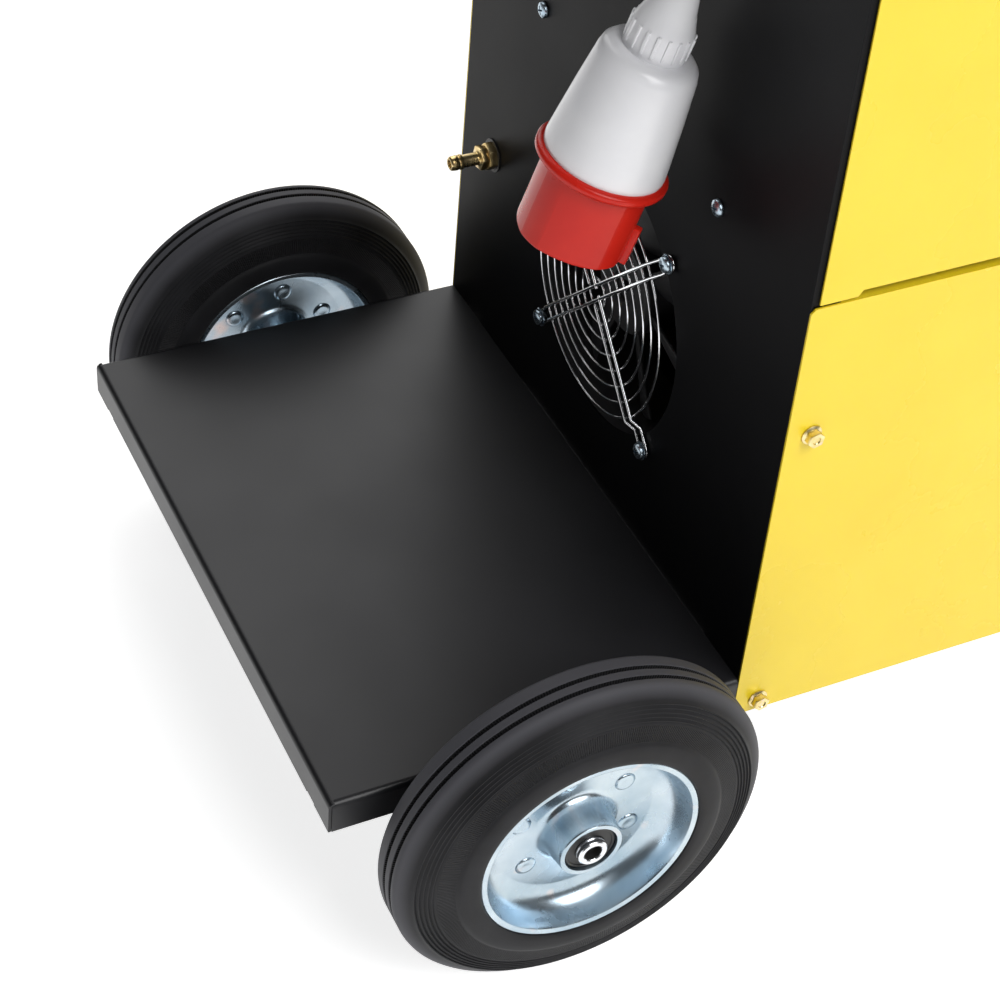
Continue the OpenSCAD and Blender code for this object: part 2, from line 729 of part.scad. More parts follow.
// The plug's own frame: the mouth at the origin, the cord's end up
module at_plug() translate(plug_end) rotate([0, 0, -plug_turn]) rotate([plug_tilt, 0, 0])
    translate([0, 0, -(shroud_l + collar_t + plug_body_l + plug_neck_l)]) children();
module plug_shroud() color([0.78, 0.12, 0.08]) at_plug() {
    flat_at = shroud_r - 1.8;
    wall = 3.5;
    difference() {
        union() {
            intersection() {
                cylinder(h = shroud_l, r = shroud_r, $fn = 96);
                rotate([0, 0, 20]) translate([0, 0, shroud_l / 2])
                    cube([2 * flat_at, 2 * flat_at, shroud_l], center = true);
            }
            difference() {
                cylinder(h = shroud_l, r = shroud_r, $fn = 96);
                for (a = [0 : 90 : 270]) rotate([0, 0, a + 20])
                    translate([shroud_r, 0, shroud_l / 2 - 1]) cube([3.6, 36, shroud_l + 4], center = true);
            }
            translate([0, 0, shroud_l]) cylinder(h = collar_t, r = collar_r, $fn = 96);
            rotate([0, 0, 160]) block([shroud_r - 2, -3, 0], [shroud_r + 3, 3, 26]);
        }
        translate([0, 0, -1]) cylinder(h = shroud_l - 4, r = shroud_r - wall - 1.8, $fn = 96);
    }
}
module plug_body() color([0.86, 0.87, 0.88]) at_plug() translate([0, 0, shroud_l + collar_t + run_gap]) {
    r0 = shroud_r + 2.5;
    r1 = shroud_r - 5;
    rotate_extrude() polygon([[0, 0], [r0, 0], [r0, 6], [r1, plug_body_l - 6], [r1 - 5, plug_body_l],
        [19, plug_body_l], [19, plug_body_l + 20], [12, plug_body_l + plug_neck_l],
        [0, plug_body_l + plug_neck_l]]);
}
module plug_pins() color([0.8, 0.65, 0.3]) at_plug() translate([0, 0, 10]) {
    for (a = [0 : 72 : 288]) rotate([0, 0, a]) translate([pin_pcr, 0, 0])
        cylinder(h = shroud_l - 15, r = a == 0 ? 3.5 : 3);
}

module panel_screws() zinc() for (s = [-1, 1]) translate([s * screw_x, rear_y, screw_z]) {
    bar_y([0, -4, 0], 12, thread_r);
    bar_y([0, 1.1, 0], 2, 6.5);
}

module side_bolts() color([0.75, 0.68, 0.35]) pair() for (z = bolt_zs) translate([-half_w, bolt_y, z]) {
    bar_x([4, 0, 0], 16, thread_r);
    bar_x([-0.8, 0, 0], 1.5, 6.8);
    translate([-1.5, 0, 0]) rotate([0, -90, 0]) cylinder(h = 5, r = 5.7, $fn = 6);
}

// The tyre's outline, from the bead to the tread, turned about the wheel's axle
tread_h = 3;
module tyre() color([0.09, 0.09, 0.095]) translate([tyre_mid, axle_y, axle_z]) rotate([0, 90, 0]) {
    h = tyre_w / 2;
    d = wheel_r - rim_r;
    low = wheel_r - tread_h;
    rotate_extrude($fn = 96) polygon([
        [rim_r, 1.5 - h], [rim_r + 0.12 * d, -h], [rim_r + 0.45 * d, 4.5 - h], [rim_r + 0.73 * d, 8 - h],
        [rim_r + 0.86 * d, 11 - h], [rim_r + 0.95 * d, 15 - h], [wheel_r, 17.5 - h],
        [wheel_r, -9], [low, -8.5], [low, -6.5], [wheel_r, -6],
        [wheel_r, 6], [low, 6.5], [low, 8.5], [wheel_r, 9],
        [wheel_r, h - 17.5], [rim_r + 0.95 * d, h - 15], [rim_r + 0.86 * d, h - 11],
        [rim_r + 0.73 * d, h - 8], [rim_r + 0.45 * d, h - 4.5], [rim_r + 0.12 * d, h], [rim_r, h - 1.5]]);
}
module tyre_right() tyre();
module tyre_left() mirror([1, 0, 0]) tyre();

module rim() zinc() translate([tyre_mid, axle_y, axle_z]) rotate([0, 90, 0]) {
    h = tyre_w / 2 - 1.5;
    wall = 2;
    dish = 9;
    hub_h = tyre_w / 2 - 2;
    // Two pressed discs, back to back, with flared bosses round the hub tube
    difference() {
        rotate_extrude($fn = 96) polygon([
            [hub_tube_r - 1, -hub_h], [hub_tube_r + 0.5, -hub_h], [hub_tube_r + 3, -dish - 3],
            [hub_tube_r + 6, -dish + 3], [hub_tube_r + 12, -wall], [rim_r - 16, -wall],
            [rim_r - 9, -dish], [rim_r - 6, 4 - h], [rim_r - 4, -h], [rim_r, -h],
            [rim_r, h], [rim_r - 4, h], [rim_r - 6, h - 4], [rim_r - 9, dish], [rim_r - 16, wall],
            [hub_tube_r + 12, wall], [hub_tube_r + 6, dish - 3], [hub_tube_r + 3, dish + 3],
            [hub_tube_r + 0.5, hub_h], [hub_tube_r - 1, hub_h]]);
        cylinder(h = 3 * tyre_w, r = hub_tube_r - 0.5, center = true);
    }
    difference() {
        cylinder(h = 2 * hub_h, r = hub_tube_r - 0.5, center = true);
        cylinder(h = 3 * tyre_w, r = axle_r + run_gap, center = true);
    }
    for (i = [0 : 5]) rotate([0, 0, i * 60]) translate([hub_tube_r + 22, 0, 0])
        cylinder(h = 2 * wall + 4, r = 6, center = true);
}
module rim_right() rim();
module rim_left() mirror([1, 0, 0]) rim();

module caster_plates() zinc() pair() translate([caster_x, caster_y, tray_z - caster_plate_t]) {
    translate([-52, -42, 0]) cube([104, 84, caster_plate_t]);
    translate([0, 0, crown_z - tray_z + caster_plate_t]) cylinder(h = tray_z - crown_z - 0.5, r = kingpin_r);
    translate([0, 0, -5]) difference() {
        cylinder(h = 5, r = 30);
        translate([0, 0, -1]) cylinder(h = 5, r = 26);
    }
}

module caster_fork() zinc() translate([caster_x, caster_y, 0]) {
    inner = caster_w / 2 + 2;
    leg_w = 34;
    top = tray_z - caster_plate_t;
    difference() {
        union() {
            translate([0, 0, crown_z - 4]) cylinder(h = top - crown_z + 3, r = 24);
            block([-inner - fork_t, -26, crown_z - 8], [inner + fork_t, 30, crown_z - 4]);
        }
        translate([0, 0, crown_z - 20]) cylinder(h = 60, r = kingpin_r + run_gap);
    }
    pair() translate([inner, 0, 0]) rotate([90, 0, 90]) linear_extrude(fork_t)
        polygon([[-22, crown_z - 4], [caster_trail - 12, caster_r - 10], [caster_trail + 12, caster_r - 10],
                 [30, crown_z - 4]]);
    bar_x([0, caster_trail, caster_r], 2 * (inner + fork_t) + 8, caster_axle_r);
}
module caster_fork_right() caster_fork();
module caster_fork_left() mirror([1, 0, 0]) caster_fork();

module caster_wheel() color([0.2, 0.2, 0.21]) translate([caster_x, caster_y + caster_trail, caster_r])
    rotate([0, 90, 0]) difference() {
        h = caster_w / 2;
        rotate_extrude($fn = 72) polygon([
            [0, -h], [14, -h], [16, -h + 8], [caster_r - 16, -h + 8], [caster_r - 13, -h + 1],
            [caster_r - 4, -h + 1], [caster_r, -h + 6], [caster_r, h - 6], [caster_r - 4, h - 1],
            [caster_r - 13, h - 1], [caster_r - 16, h - 8], [16, h - 8], [14, h], [0, h]]);
        cylinder(h = 2 * caster_w, r = caster_axle_r + run_gap, center = true);
    }
module caster_wheel_right() caster_wheel();
module caster_wheel_left() mirror([1, 0, 0]) caster_wheel();

module knob(at, r) color([0.07, 0.07, 0.08]) translate([at[0], front_y, at[1]]) rotate([90, 0, 0]) {
    translate([0, 0, -6]) cylinder(h = 7, r = knob_shaft_r);
    translate([0, 0, 0.4]) cylinder(h = 3, r = r + 3);
    translate([0, 0, 3.4]) cylinder(h = 14, r = r);
    block([-1, r - 6, 17.4], [1, r, 18.4]);
}
module voltage_knob() knob(voltage_at, 17);
module fine_knob() knob(fine_at, 14);
module speed_knob() knob(speed_at, 15);

module torch_socket() color([0.78, 0.64, 0.34]) translate([torch_x, front_y, torch_z]) rotate([90, 0, 0])
    difference() {
        union() {
            cylinder(h = 5, r = 26);
            translate([0, 0, 5]) cylinder(h = 20, r = 21);
            translate([0, 0, -20]) cylinder(h = 21, r = torch_neck_r);
        }
        translate([0, 0, -25]) cylinder(h = 60, r = 5);
        translate([0, 0, 10]) cylinder(h = 30, r = 15);
        for (x = [-1, 1]) translate([x * 11, 0, -5]) cylinder(h = 30, r = 2.2);
    }

module earth_sockets() color([0.1, 0.1, 0.11]) for (x = earth_xs)
    translate([x, front_y, earth_z]) rotate([90, 0, 0]) difference() {
        union() {
            cylinder(h = 5, r = 22);
            translate([0, 0, 5]) cylinder(h = 16, r = 17);
            translate([0, 0, -22]) cylinder(h = 23, r = 12);
        }
        translate([0, 0, -4]) cylinder(h = 40, r = 6.6);
    }

base_tray();
rear_panel();
cylinder_platform();
axle_brackets();
rear_axle();
lower_side_left();
lower_side_right();
upper_side_right();
top_cover();
front_panel();
control_panel();
bulkhead();
push_handle();
cylinder_bracket();
feeder_door();
door_hinge_fixed();
door_hinge_moving();
door_latch();
spool_spindle();
spool_hub();
feed_plate();
feed_motor();
drive_roll();
pressure_arm();
pressure_roller();
tension_knob();
transformer_core();
transformer_coils();
choke();
rectifier();
control_board();
fan_frame();
fan_rotor();
fan_guard();
guard_screws();
gas_nipple();
gas_valve();
cable_gland();
cord_lead();
cord_coil();
cord_tail();
plug_shroud();
plug_body();
plug_pins();
panel_screws();
side_bolts();
tyre_left();
tyre_right();
rim_left();
rim_right();
caster_plates();
caster_fork_left();
caster_fork_right();
caster_wheel_left();
caster_wheel_right();
voltage_knob();
fine_knob();
speed_knob();
torch_socket();
earth_sockets();
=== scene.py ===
import json
import math
import bpy
from mathutils import Matrix, Vector


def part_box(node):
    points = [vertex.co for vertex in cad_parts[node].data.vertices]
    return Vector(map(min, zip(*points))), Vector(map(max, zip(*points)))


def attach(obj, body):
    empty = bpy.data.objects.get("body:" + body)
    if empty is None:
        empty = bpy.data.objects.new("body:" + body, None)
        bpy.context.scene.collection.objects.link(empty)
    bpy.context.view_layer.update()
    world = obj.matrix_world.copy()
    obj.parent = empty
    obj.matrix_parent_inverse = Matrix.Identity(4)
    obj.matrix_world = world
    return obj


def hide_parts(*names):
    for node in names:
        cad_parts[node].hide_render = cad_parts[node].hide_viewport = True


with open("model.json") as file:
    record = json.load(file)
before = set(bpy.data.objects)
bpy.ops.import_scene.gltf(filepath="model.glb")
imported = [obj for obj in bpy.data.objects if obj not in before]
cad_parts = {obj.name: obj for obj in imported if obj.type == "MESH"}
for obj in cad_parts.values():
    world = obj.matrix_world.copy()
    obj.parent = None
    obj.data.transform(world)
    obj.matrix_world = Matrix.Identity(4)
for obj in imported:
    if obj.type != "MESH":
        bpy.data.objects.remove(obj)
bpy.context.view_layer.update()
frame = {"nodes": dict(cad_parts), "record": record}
nodes = frame["nodes"]
slotOfNode = {row["node"]: row["material_slot"] for row in frame["record"]["subparts"]}
bodyOfNode = {node: body for body, members in frame["record"]["behaviour"]["bodies"].items() for node in members}
scene = bpy.context.scene
mm = 0.001


# Places are taken from the model's own boxes
def lowOf(node):
    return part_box(node)[0]


def highOf(node):
    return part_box(node)[1]


def middleOf(node):
    return (lowOf(node) + highOf(node)) / 2


platformTop = highOf("cylinder_platform").z
rearFace = highOf("rear_panel").y
wheelMid = middleOf("tyre_right")
fanMid = Vector((0, rearFace, middleOf("fan_rotor").z))


def deselectAll():
    if bpy.context.object and bpy.context.object.mode != "OBJECT":
        bpy.ops.object.mode_set(mode="OBJECT")
    bpy.ops.object.select_all(action="DESELECT")


def pick(obj, *more):
    deselectAll()
    for other in more:
        other.select_set(True)
    obj.select_set(True)
    bpy.context.view_layer.objects.active = obj


def applyAll(obj):
    pick(obj)
    bpy.ops.object.transform_apply(location=True, rotation=True, scale=True)


def put(obj, place):
    obj.matrix_world = place @ obj.matrix_world
    bpy.context.view_layer.update()
    applyAll(obj)


def joined(name, parts):
    pick(parts[0], *parts[1:])
    if len(parts) > 1:
        bpy.ops.object.join()
    parts[0].name = name
    return parts[0]


def copied(obj, name, place):
    twin = bpy.data.objects.new(name, obj.data.copy())
    scene.collection.objects.link(twin)
    put(twin, place)
    return twin


def tidyShell(obj, merge=1e-5):
    pick(obj)
    bpy.ops.object.mode_set(mode="EDIT")
    bpy.ops.mesh.select_all(action="SELECT")
    bpy.ops.mesh.remove_doubles(threshold=merge)
    bpy.ops.mesh.normals_make_consistent(inside=False)
    bpy.ops.object.mode_set(mode="OBJECT")


def smoothed(obj, degrees=32):
    pick(obj)
    bpy.ops.object.shade_smooth_by_angle(angle=math.radians(degrees))
    return obj


def withModifier(obj, kind, **settings):
    pick(obj)
    mod = obj.modifiers.new(kind.lower(), kind)
    for key, value in settings.items():
        setattr(mod, key, value)
    bpy.ops.object.modifier_apply(modifier=mod.name)
    return obj


def roundedEdges(obj, width, segments=2, degrees=30):
    return withModifier(obj, "BEVEL", width=width, segments=segments, limit_method="ANGLE",
                        angle_limit=math.radians(degrees), harden_normals=False)


def cutAway(obj, *cutters):
    for cutter in cutters:
        withModifier(obj, "BOOLEAN", object=cutter, operation="DIFFERENCE", solver="EXACT")
        bpy.data.objects.remove(cutter)
    return obj


def drawLine(name, points):
    # One vertex, drawn out from point to point
    deselectAll()
    start = Vector(points[0])
    bpy.ops.mesh.primitive_plane_add(size=0.0001, location=start)
    line = bpy.context.object
    line.name = name
    applyAll(line)
    bpy.ops.object.mode_set(mode="EDIT")
    bpy.ops.mesh.select_all(action="SELECT")
    bpy.ops.mesh.merge(type="CENTER")
    for before, after in zip(points, points[1:]):
        step = Vector(after) - Vector(before)
        bpy.ops.mesh.extrude_vertices_move(TRANSFORM_OT_translate={"value": tuple(step)})
    bpy.ops.object.mode_set(mode="OBJECT")
    return line


def turned(name, outline, place, steps=64, closed=False, degrees=32):
    # outline is (along, radius) in millimetres, turned about Z and then put in place
    points = [(radius * mm, 0, along * mm) for along, radius in outline]
    if closed:
        points.append(points[0])
    obj = drawLine(name, points)
    pick(obj)
    bpy.ops.object.mode_set(mode="EDIT")
    bpy.ops.mesh.select_all(action="SELECT")
    bpy.ops.mesh.spin(steps=steps, angle=2 * math.pi, center=(0, 0, 0), axis=(0, 0, 1))
    bpy.ops.object.mode_set(mode="OBJECT")
    tidyShell(obj)
    put(obj, place)
    return smoothed(obj, degrees)


def prism(name, sides, radius, low, high, place, edge=0.4, turn=0):
    deselectAll()
    bpy.ops.mesh.primitive_cylinder_add(vertices=sides, radius=radius * mm, depth=(high - low) * mm,
                                        location=(0, 0, (low + high) / 2 * mm), rotation=(0, 0, turn))
    obj = bpy.context.object
    obj.name = name
    applyAll(obj)
    roundedEdges(obj, edge * mm)
    put(obj, place)
    return smoothed(obj)


def slab(name, low, high, edge=0.0, place=Matrix()):
    low, high = Vector(low), Vector(high)
    deselectAll()
    bpy.ops.mesh.primitive_cube_add(size=1, location=(low + high) / 2, scale=high - low)
    obj = bpy.context.object
    obj.name = name
    applyAll(obj)
    if edge:
        roundedEdges(obj, edge)
    put(obj, place)
    return smoothed(obj)


def thickened(obj, radius, sides=2):
    pick(obj)
    bpy.ops.object.convert(target="CURVE")
    wire = bpy.context.object
    wire.data.bevel_depth = radius
    wire.data.bevel_resolution = sides
    wire.data.use_fill_caps = True
    bpy.ops.object.convert(target="MESH")
    wire = bpy.context.object
    tidyShell(wire, 1e-6)
    return smoothed(wire, 50)


def facing(direction, centre):
    # Local +Z towards the given side
    turn = Vector((0, 0, 1)).rotation_difference(Vector(direction)).to_matrix().to_4x4()
    return Matrix.Translation(Vector(centre)) @ turn


def finishPiece(obj, material, body, *stoodFor, slot=None):
    obj.data.materials.clear()
    obj.data.materials.append(material)
    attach(obj, body)
    if stoodFor:
        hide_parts(*stoodFor)
    return obj


print("camera and light")
cameraSettings = {"lens": 85.04, "turn": (47.8466, -3.8946, -115.0695),
                  "fromPlatform": (-1.07817, 0.83966, 1.09355)}
cameraData = bpy.data.cameras.new("camera")
cameraData.lens = cameraSettings["lens"]
cameraData.sensor_width = 36
cameraData.clip_end = 50
camera = bpy.data.objects.new("camera", cameraData)
scene.collection.objects.link(camera)
camera.rotation_euler = [math.radians(a) for a in cameraSettings["turn"]]
camera.location = Vector(cameraSettings["fromPlatform"]) + Vector((0, 0, platformTop))
scene.camera = camera
scene.view_settings.view_transform = "Standard"

lighting = {"above": 1.3, "below": 0.5, "fadeFrom": -0.2, "fadeTo": 0.1, "aim": (0, 0.2, 0.3),
            "keyPower": 60, "keySize": 1.8, "keyAt": (-1.9, -0.3, 2.2),
            "backPower": 62, "backSize": 3.2, "backAt": (2.0, -0.75, 2.2)}
floorSettings = {"radius": 7, "height": -0.0005, "dark": 0.73, "light": 0.76, "mottle": 3, "roughness": 0.9,
                 "specular": 0.1, "glow": 0.8}


def addWorld():
    # An even sky, dimmer below the horizon
    world = bpy.data.worlds.new("studio")
    scene.world = world
    world.use_nodes = True
    tree = world.node_tree
    where = tree.nodes.new("ShaderNodeTexCoord")
    split = tree.nodes.new("ShaderNodeSeparateXYZ")
    blend = tree.nodes.new("ShaderNodeMapRange")
    for socket, key in (("From Min", "fadeFrom"), ("From Max", "fadeTo"), ("To Min", "below"), ("To Max", "above")):
        blend.inputs[socket].default_value = lighting[key]
    tree.links.new(where.outputs["Generated"], split.inputs[0])
    tree.links.new(split.outputs["Z"], blend.inputs["Value"])
    tree.links.new(blend.outputs["Result"], tree.nodes["Background"].inputs["Strength"])


def addSoftLight(name):
    where = lighting[name + "At"]
    data = bpy.data.lights.new(name, "AREA")
    data.energy = lighting[name + "Power"]
    data.shape = "SQUARE"
    data.size = lighting[name + "Size"]
    lamp = bpy.data.objects.new(name, data)
    scene.collection.objects.link(lamp)
    lamp.location = where
    lamp.rotation_euler = (Vector(lighting["aim"]) - Vector(where)).to_track_quat("-Z", "Y").to_euler()


addWorld()
addSoftLight("key")
addSoftLight("back")


def floorMaterial():
    mat = bpy.data.materials.new("studioFloor")
    mat.use_nodes = True
    tree = mat.node_tree
    shader = tree.nodes["Principled BSDF"]
    where = tree.nodes.new("ShaderNodeTexCoord")
    noise = tree.nodes.new("ShaderNodeTexNoise")
    noise.inputs["Scale"].default_value = floorSettings["mottle"]
    ramp = tree.nodes.new("ShaderNodeValToRGB")
    for element, grey in zip(ramp.color_ramp.elements, (floorSettings["dark"], floorSettings["light"])):
        element.color = (grey, grey, grey, 1)
    tree.links.new(where.outputs["Object"], noise.inputs["Vector"])
    tree.links.new(noise.outputs["Fac"], ramp.inputs["Fac"])
    tree.links.new(ramp.outputs["Color"], shader.inputs["Base Color"])
    shader.inputs["Roughness"].default_value = floorSettings["roughness"]
    shader.inputs["Specular IOR Level"].default_value = floorSettings["specular"]
    shader.inputs["Emission Color"].default_value = (1, 1, 1, 1)
    shader.inputs["Emission Strength"].default_value = floorSettings["glow"]
    return mat


deselectAll()
bpy.ops.mesh.primitive_circle_add(vertices=96, radius=floorSettings["radius"], fill_type="NGON",
                                  location=(0, 0, floorSettings["height"]))
floor = bpy.context.object
floor.name = "studio_floor"
applyAll(floor)
floor.data.materials.append(floorMaterial())


print("materials")
finish = {"from": 0.3, "to": 0.7, "toneDetail": 4, "wearDetail": 5, "grainDetail": 2, "coatRoughness": 0.12}


def surface(name, dark, light, rough, scale=14, metallic=0.0, bump=0.25, bumpScale=900, bumpDepth=0.08,
            coat=0.0, specular=0.5, stretch=(1, 1, 1), roughScale=9, spots=None):
    # Colour varies slowly, roughness a little, and a fine grain lies on top
    mat = bpy.data.materials.new(name)
    mat.use_nodes = True
    tree = mat.node_tree
    add, link = tree.nodes.new, tree.links.new
    shader = tree.nodes["Principled BSDF"]
    where = add("ShaderNodeTexCoord")
    stretched = add("ShaderNodeMapping")
    stretched.inputs["Scale"].default_value = stretch
    link(where.outputs["Object"], stretched.inputs["Vector"])
    tone = add("ShaderNodeTexNoise")
    tone.inputs["Scale"].default_value = scale
    tone.inputs["Detail"].default_value = finish["toneDetail"]
    ramp = add("ShaderNodeValToRGB")
    ramp.color_ramp.elements[0].position = finish["from"]
    ramp.color_ramp.elements[1].position = finish["to"]
    ramp.color_ramp.elements[0].color = (*dark, 1)
    ramp.color_ramp.elements[1].color = (*light, 1)
    link(where.outputs["Object"], tone.inputs["Vector"])
    link(tone.outputs["Fac"], ramp.inputs["Fac"])
    colour = ramp.outputs["Color"]
    if spots:
        spotNoise = add("ShaderNodeTexNoise")
        spotNoise.inputs["Scale"].default_value = spots["scale"]
        spotNoise.inputs["Detail"].default_value = finish["grainDetail"]
        spotMask = add("ShaderNodeMapRange")
        spotMask.inputs["From Min"].default_value = spots["from"]
        spotMask.inputs["From Max"].default_value = spots["to"]
        mix = add("ShaderNodeMix")
        mix.data_type = "RGBA"
        mix.inputs["B"].default_value = (*spots["colour"], 1)
        link(where.outputs["Object"], spotNoise.inputs["Vector"])
        link(spotNoise.outputs["Fac"], spotMask.inputs["Value"])
        link(spotMask.outputs["Result"], mix.inputs["Factor"])
        link(colour, mix.inputs["A"])
        colour = mix.outputs["Result"]
    link(colour, shader.inputs["Base Color"])
    wear = add("ShaderNodeTexNoise")
    wear.inputs["Scale"].default_value = roughScale
    wear.inputs["Detail"].default_value = finish["wearDetail"]
    roughRange = add("ShaderNodeMapRange")
    roughRange.inputs["From Min"].default_value = finish["from"]
    roughRange.inputs["From Max"].default_value = finish["to"]
    roughRange.inputs["To Min"].default_value = rough[0]
    roughRange.inputs["To Max"].default_value = rough[1]
    link(stretched.outputs["Vector"], wear.inputs["Vector"])
    link(wear.outputs["Fac"], roughRange.inputs["Value"])
    link(roughRange.outputs["Result"], shader.inputs["Roughness"])
    grain = add("ShaderNodeTexNoise")
    grain.inputs["Scale"].default_value = bumpScale
    grain.inputs["Detail"].default_value = finish["grainDetail"]
    raised = add("ShaderNodeBump")
    raised.inputs["Strength"].default_value = bump
    raised.inputs["Distance"].default_value = bumpDepth * mm
    link(stretched.outputs["Vector"], grain.inputs["Vector"])
    link(grain.outputs["Fac"], raised.inputs["Height"])
    link(raised.outputs["Normal"], shader.inputs["Normal"])
    shader.inputs["Metallic"].default_value = metallic
    shader.inputs["Coat Weight"].default_value = coat
    shader.inputs["Coat Roughness"].default_value = finish["coatRoughness"]
    shader.inputs["Specular IOR Level"].default_value = specular
    return mat


blackPowder = surface("blackPowder", (0.0085, 0.0085, 0.0098), (0.0115, 0.0115, 0.0135), (0.36, 0.44),
                      bump=0.35, bumpScale=700, bumpDepth=0.05, specular=0.42)
# blackPowder again, darker and barely glossy, for the rear panel alone: painted shade and dimmed reflection on that
# face
blackPowderRearShaded = surface("blackPowderRearShaded", (0.006, 0.006, 0.0068), (0.008, 0.008, 0.009), (0.38, 0.46),
                          bump=0.35, bumpScale=700, bumpDepth=0.05, specular=0.06)
yellowPowder = surface("yellowPowder", (0.82, 0.60, 0.014), (0.85, 0.635, 0.02), (0.24, 0.32),
                       bump=0.2, bumpScale=420, bumpDepth=0.05, coat=0.1)
zinc = surface("brightZinc", (0.34, 0.45, 0.54), (0.60, 0.68, 0.74), (0.2, 0.34), scale=22, metallic=1,
               bump=0.15, bumpScale=260, bumpDepth=0.05, roughScale=30,
               spots={"scale": 38, "from": 0.62, "to": 0.74, "colour": (0.74, 0.64, 0.62)})
axleSteel = surface("axleSteel", (0.62, 0.66, 0.70), (0.78, 0.80, 0.83), (0.18, 0.3), scale=40, metallic=1,
                    bump=0.2, bumpScale=300, bumpDepth=0.03, stretch=(0.1, 1, 1))
yellowZinc = surface("yellowZinc", (0.66, 0.52, 0.20), (0.86, 0.74, 0.42), (0.2, 0.34), scale=120,
                     metallic=1, bump=0.3, bumpScale=500, bumpDepth=0.04,
                     spots={"scale": 160, "from": 0.6, "to": 0.72, "colour": (0.82, 0.60, 0.52)})
chrome = surface("chromeWire", (0.80, 0.81, 0.83), (0.93, 0.94, 0.95), (0.07, 0.14), scale=60, metallic=1,
                 bump=0.1, bumpScale=600, bumpDepth=0.02)
brass = surface("turnedBrass", (0.70, 0.50, 0.20), (0.86, 0.68, 0.36), (0.2, 0.34), scale=120, metallic=1,
                bump=0.25, bumpScale=900, bumpDepth=0.03, stretch=(1, 6, 1))
greySheet = surface("greySheet", (0.42, 0.44, 0.46), (0.50, 0.52, 0.54), (0.4, 0.5), bump=0.2)
blackPlastic = surface("blackPlastic", (0.018, 0.018, 0.019), (0.028, 0.028, 0.03), (0.38, 0.5), scale=30,
                       bump=0.4, bumpScale=1100, bumpDepth=0.05)
panelPlastic = surface("panelPlastic", (0.045, 0.045, 0.05), (0.06, 0.06, 0.066), (0.42, 0.52), scale=20,
                       bump=0.5, bumpScale=900, bumpDepth=0.06)
redPlastic = surface("redPlastic", (0.56, 0.014, 0.008), (0.64, 0.022, 0.011), (0.26, 0.34), scale=30,
                     bump=0.15, bumpScale=300, bumpDepth=0.04, specular=0.28)
lightPlastic = surface("lightPlastic", (0.80, 0.80, 0.83), (0.86, 0.86, 0.88), (0.22, 0.3), scale=25,
                       bump=0.15, bumpScale=300, bumpDepth=0.04, coat=0.15)
redKnob = surface("redKnob", (0.50, 0.03, 0.02), (0.58, 0.04, 0.03), (0.3, 0.4), scale=50)
rollSteel = surface("rollSteel", (0.58, 0.58, 0.57), (0.74, 0.74, 0.73), (0.22, 0.34), scale=60, metallic=1,
                    bump=0.2, bumpScale=900, bumpDepth=0.03, stretch=(8, 1, 1))
feedAlu = surface("feedAluminium", (0.60, 0.61, 0.62), (0.72, 0.73, 0.74), (0.34, 0.46), scale=40,
                  metallic=1, bump=0.4, bumpScale=600, bumpDepth=0.05)
motorBlack = surface("motorBlack", (0.035, 0.035, 0.038), (0.05, 0.05, 0.054), (0.38, 0.5), bump=0.4,
                     bumpScale=600)
heatsinkAlu = surface("heatsinkAluminium", (0.64, 0.66, 0.68), (0.76, 0.78, 0.80), (0.32, 0.42), scale=50,
                      metallic=1, bump=0.3, bumpScale=300, stretch=(1, 0.1, 1))
boardGreen = surface("circuitBoard", (0.02, 0.17, 0.07), (0.035, 0.26, 0.12), (0.28, 0.36), scale=90,
                     bump=0.3, bumpScale=260, bumpDepth=0.1)
cordRubber = surface("cordRubber", (0.014, 0.014, 0.015), (0.022, 0.022, 0.024), (0.48, 0.6), scale=40,
                     bump=0.4, bumpScale=700, bumpDepth=0.06)
casterRubber = surface("casterRubber", (0.10, 0.10, 0.105), (0.13, 0.13, 0.137), (0.5, 0.6), scale=40,
                       bump=0.5, bumpScale=700, bumpDepth=0.06)
sealRubber = surface("sealRubber", (0.010, 0.010, 0.011), (0.018, 0.018, 0.02), (0.35, 0.5), scale=90)
deepShade = surface("paintedBoreShade", (0.004, 0.004, 0.004), (0.008, 0.008, 0.008), (0.7, 0.8), scale=90)


def banded(name, dark, light, pitch, direction, rough, metallic=0.0, depth=0.3):
    # Even bands across one direction, for laminations and windings
    mat = surface(name, dark, light, rough, scale=60, metallic=metallic)
    tree = mat.node_tree
    bands = tree.nodes.new("ShaderNodeTexWave")
    bands.wave_type = "BANDS"
    bands.bands_direction = direction
    bands.inputs["Scale"].default_value = 0.314 / (pitch * mm)  # a wave of scale 1 repeats every 0.314 m
    bands.inputs["Distortion"].default_value = 0.3
    bumpNode = next(n for n in tree.nodes if n.bl_idname == "ShaderNodeBump")
    where = next(n for n in tree.nodes if n.bl_idname == "ShaderNodeTexCoord")
    tree.links.new(where.outputs["Object"], bands.inputs["Vector"])
    tree.links.new(bands.outputs["Fac"], bumpNode.inputs["Height"])
    bumpNode.inputs["Distance"].default_value = depth * mm
    bumpNode.inputs["Strength"].default_value = 0.8
    return mat


coreIron = banded("coreIron", (0.16, 0.165, 0.175), (0.26, 0.27, 0.28), 1.0, "Y", (0.35, 0.5), metallic=0.8)
coilCopper = banded("coilCopper", (0.34, 0.12, 0.03), (0.52, 0.22, 0.06), 2.4, "Z", (0.25, 0.36), depth=0.6)


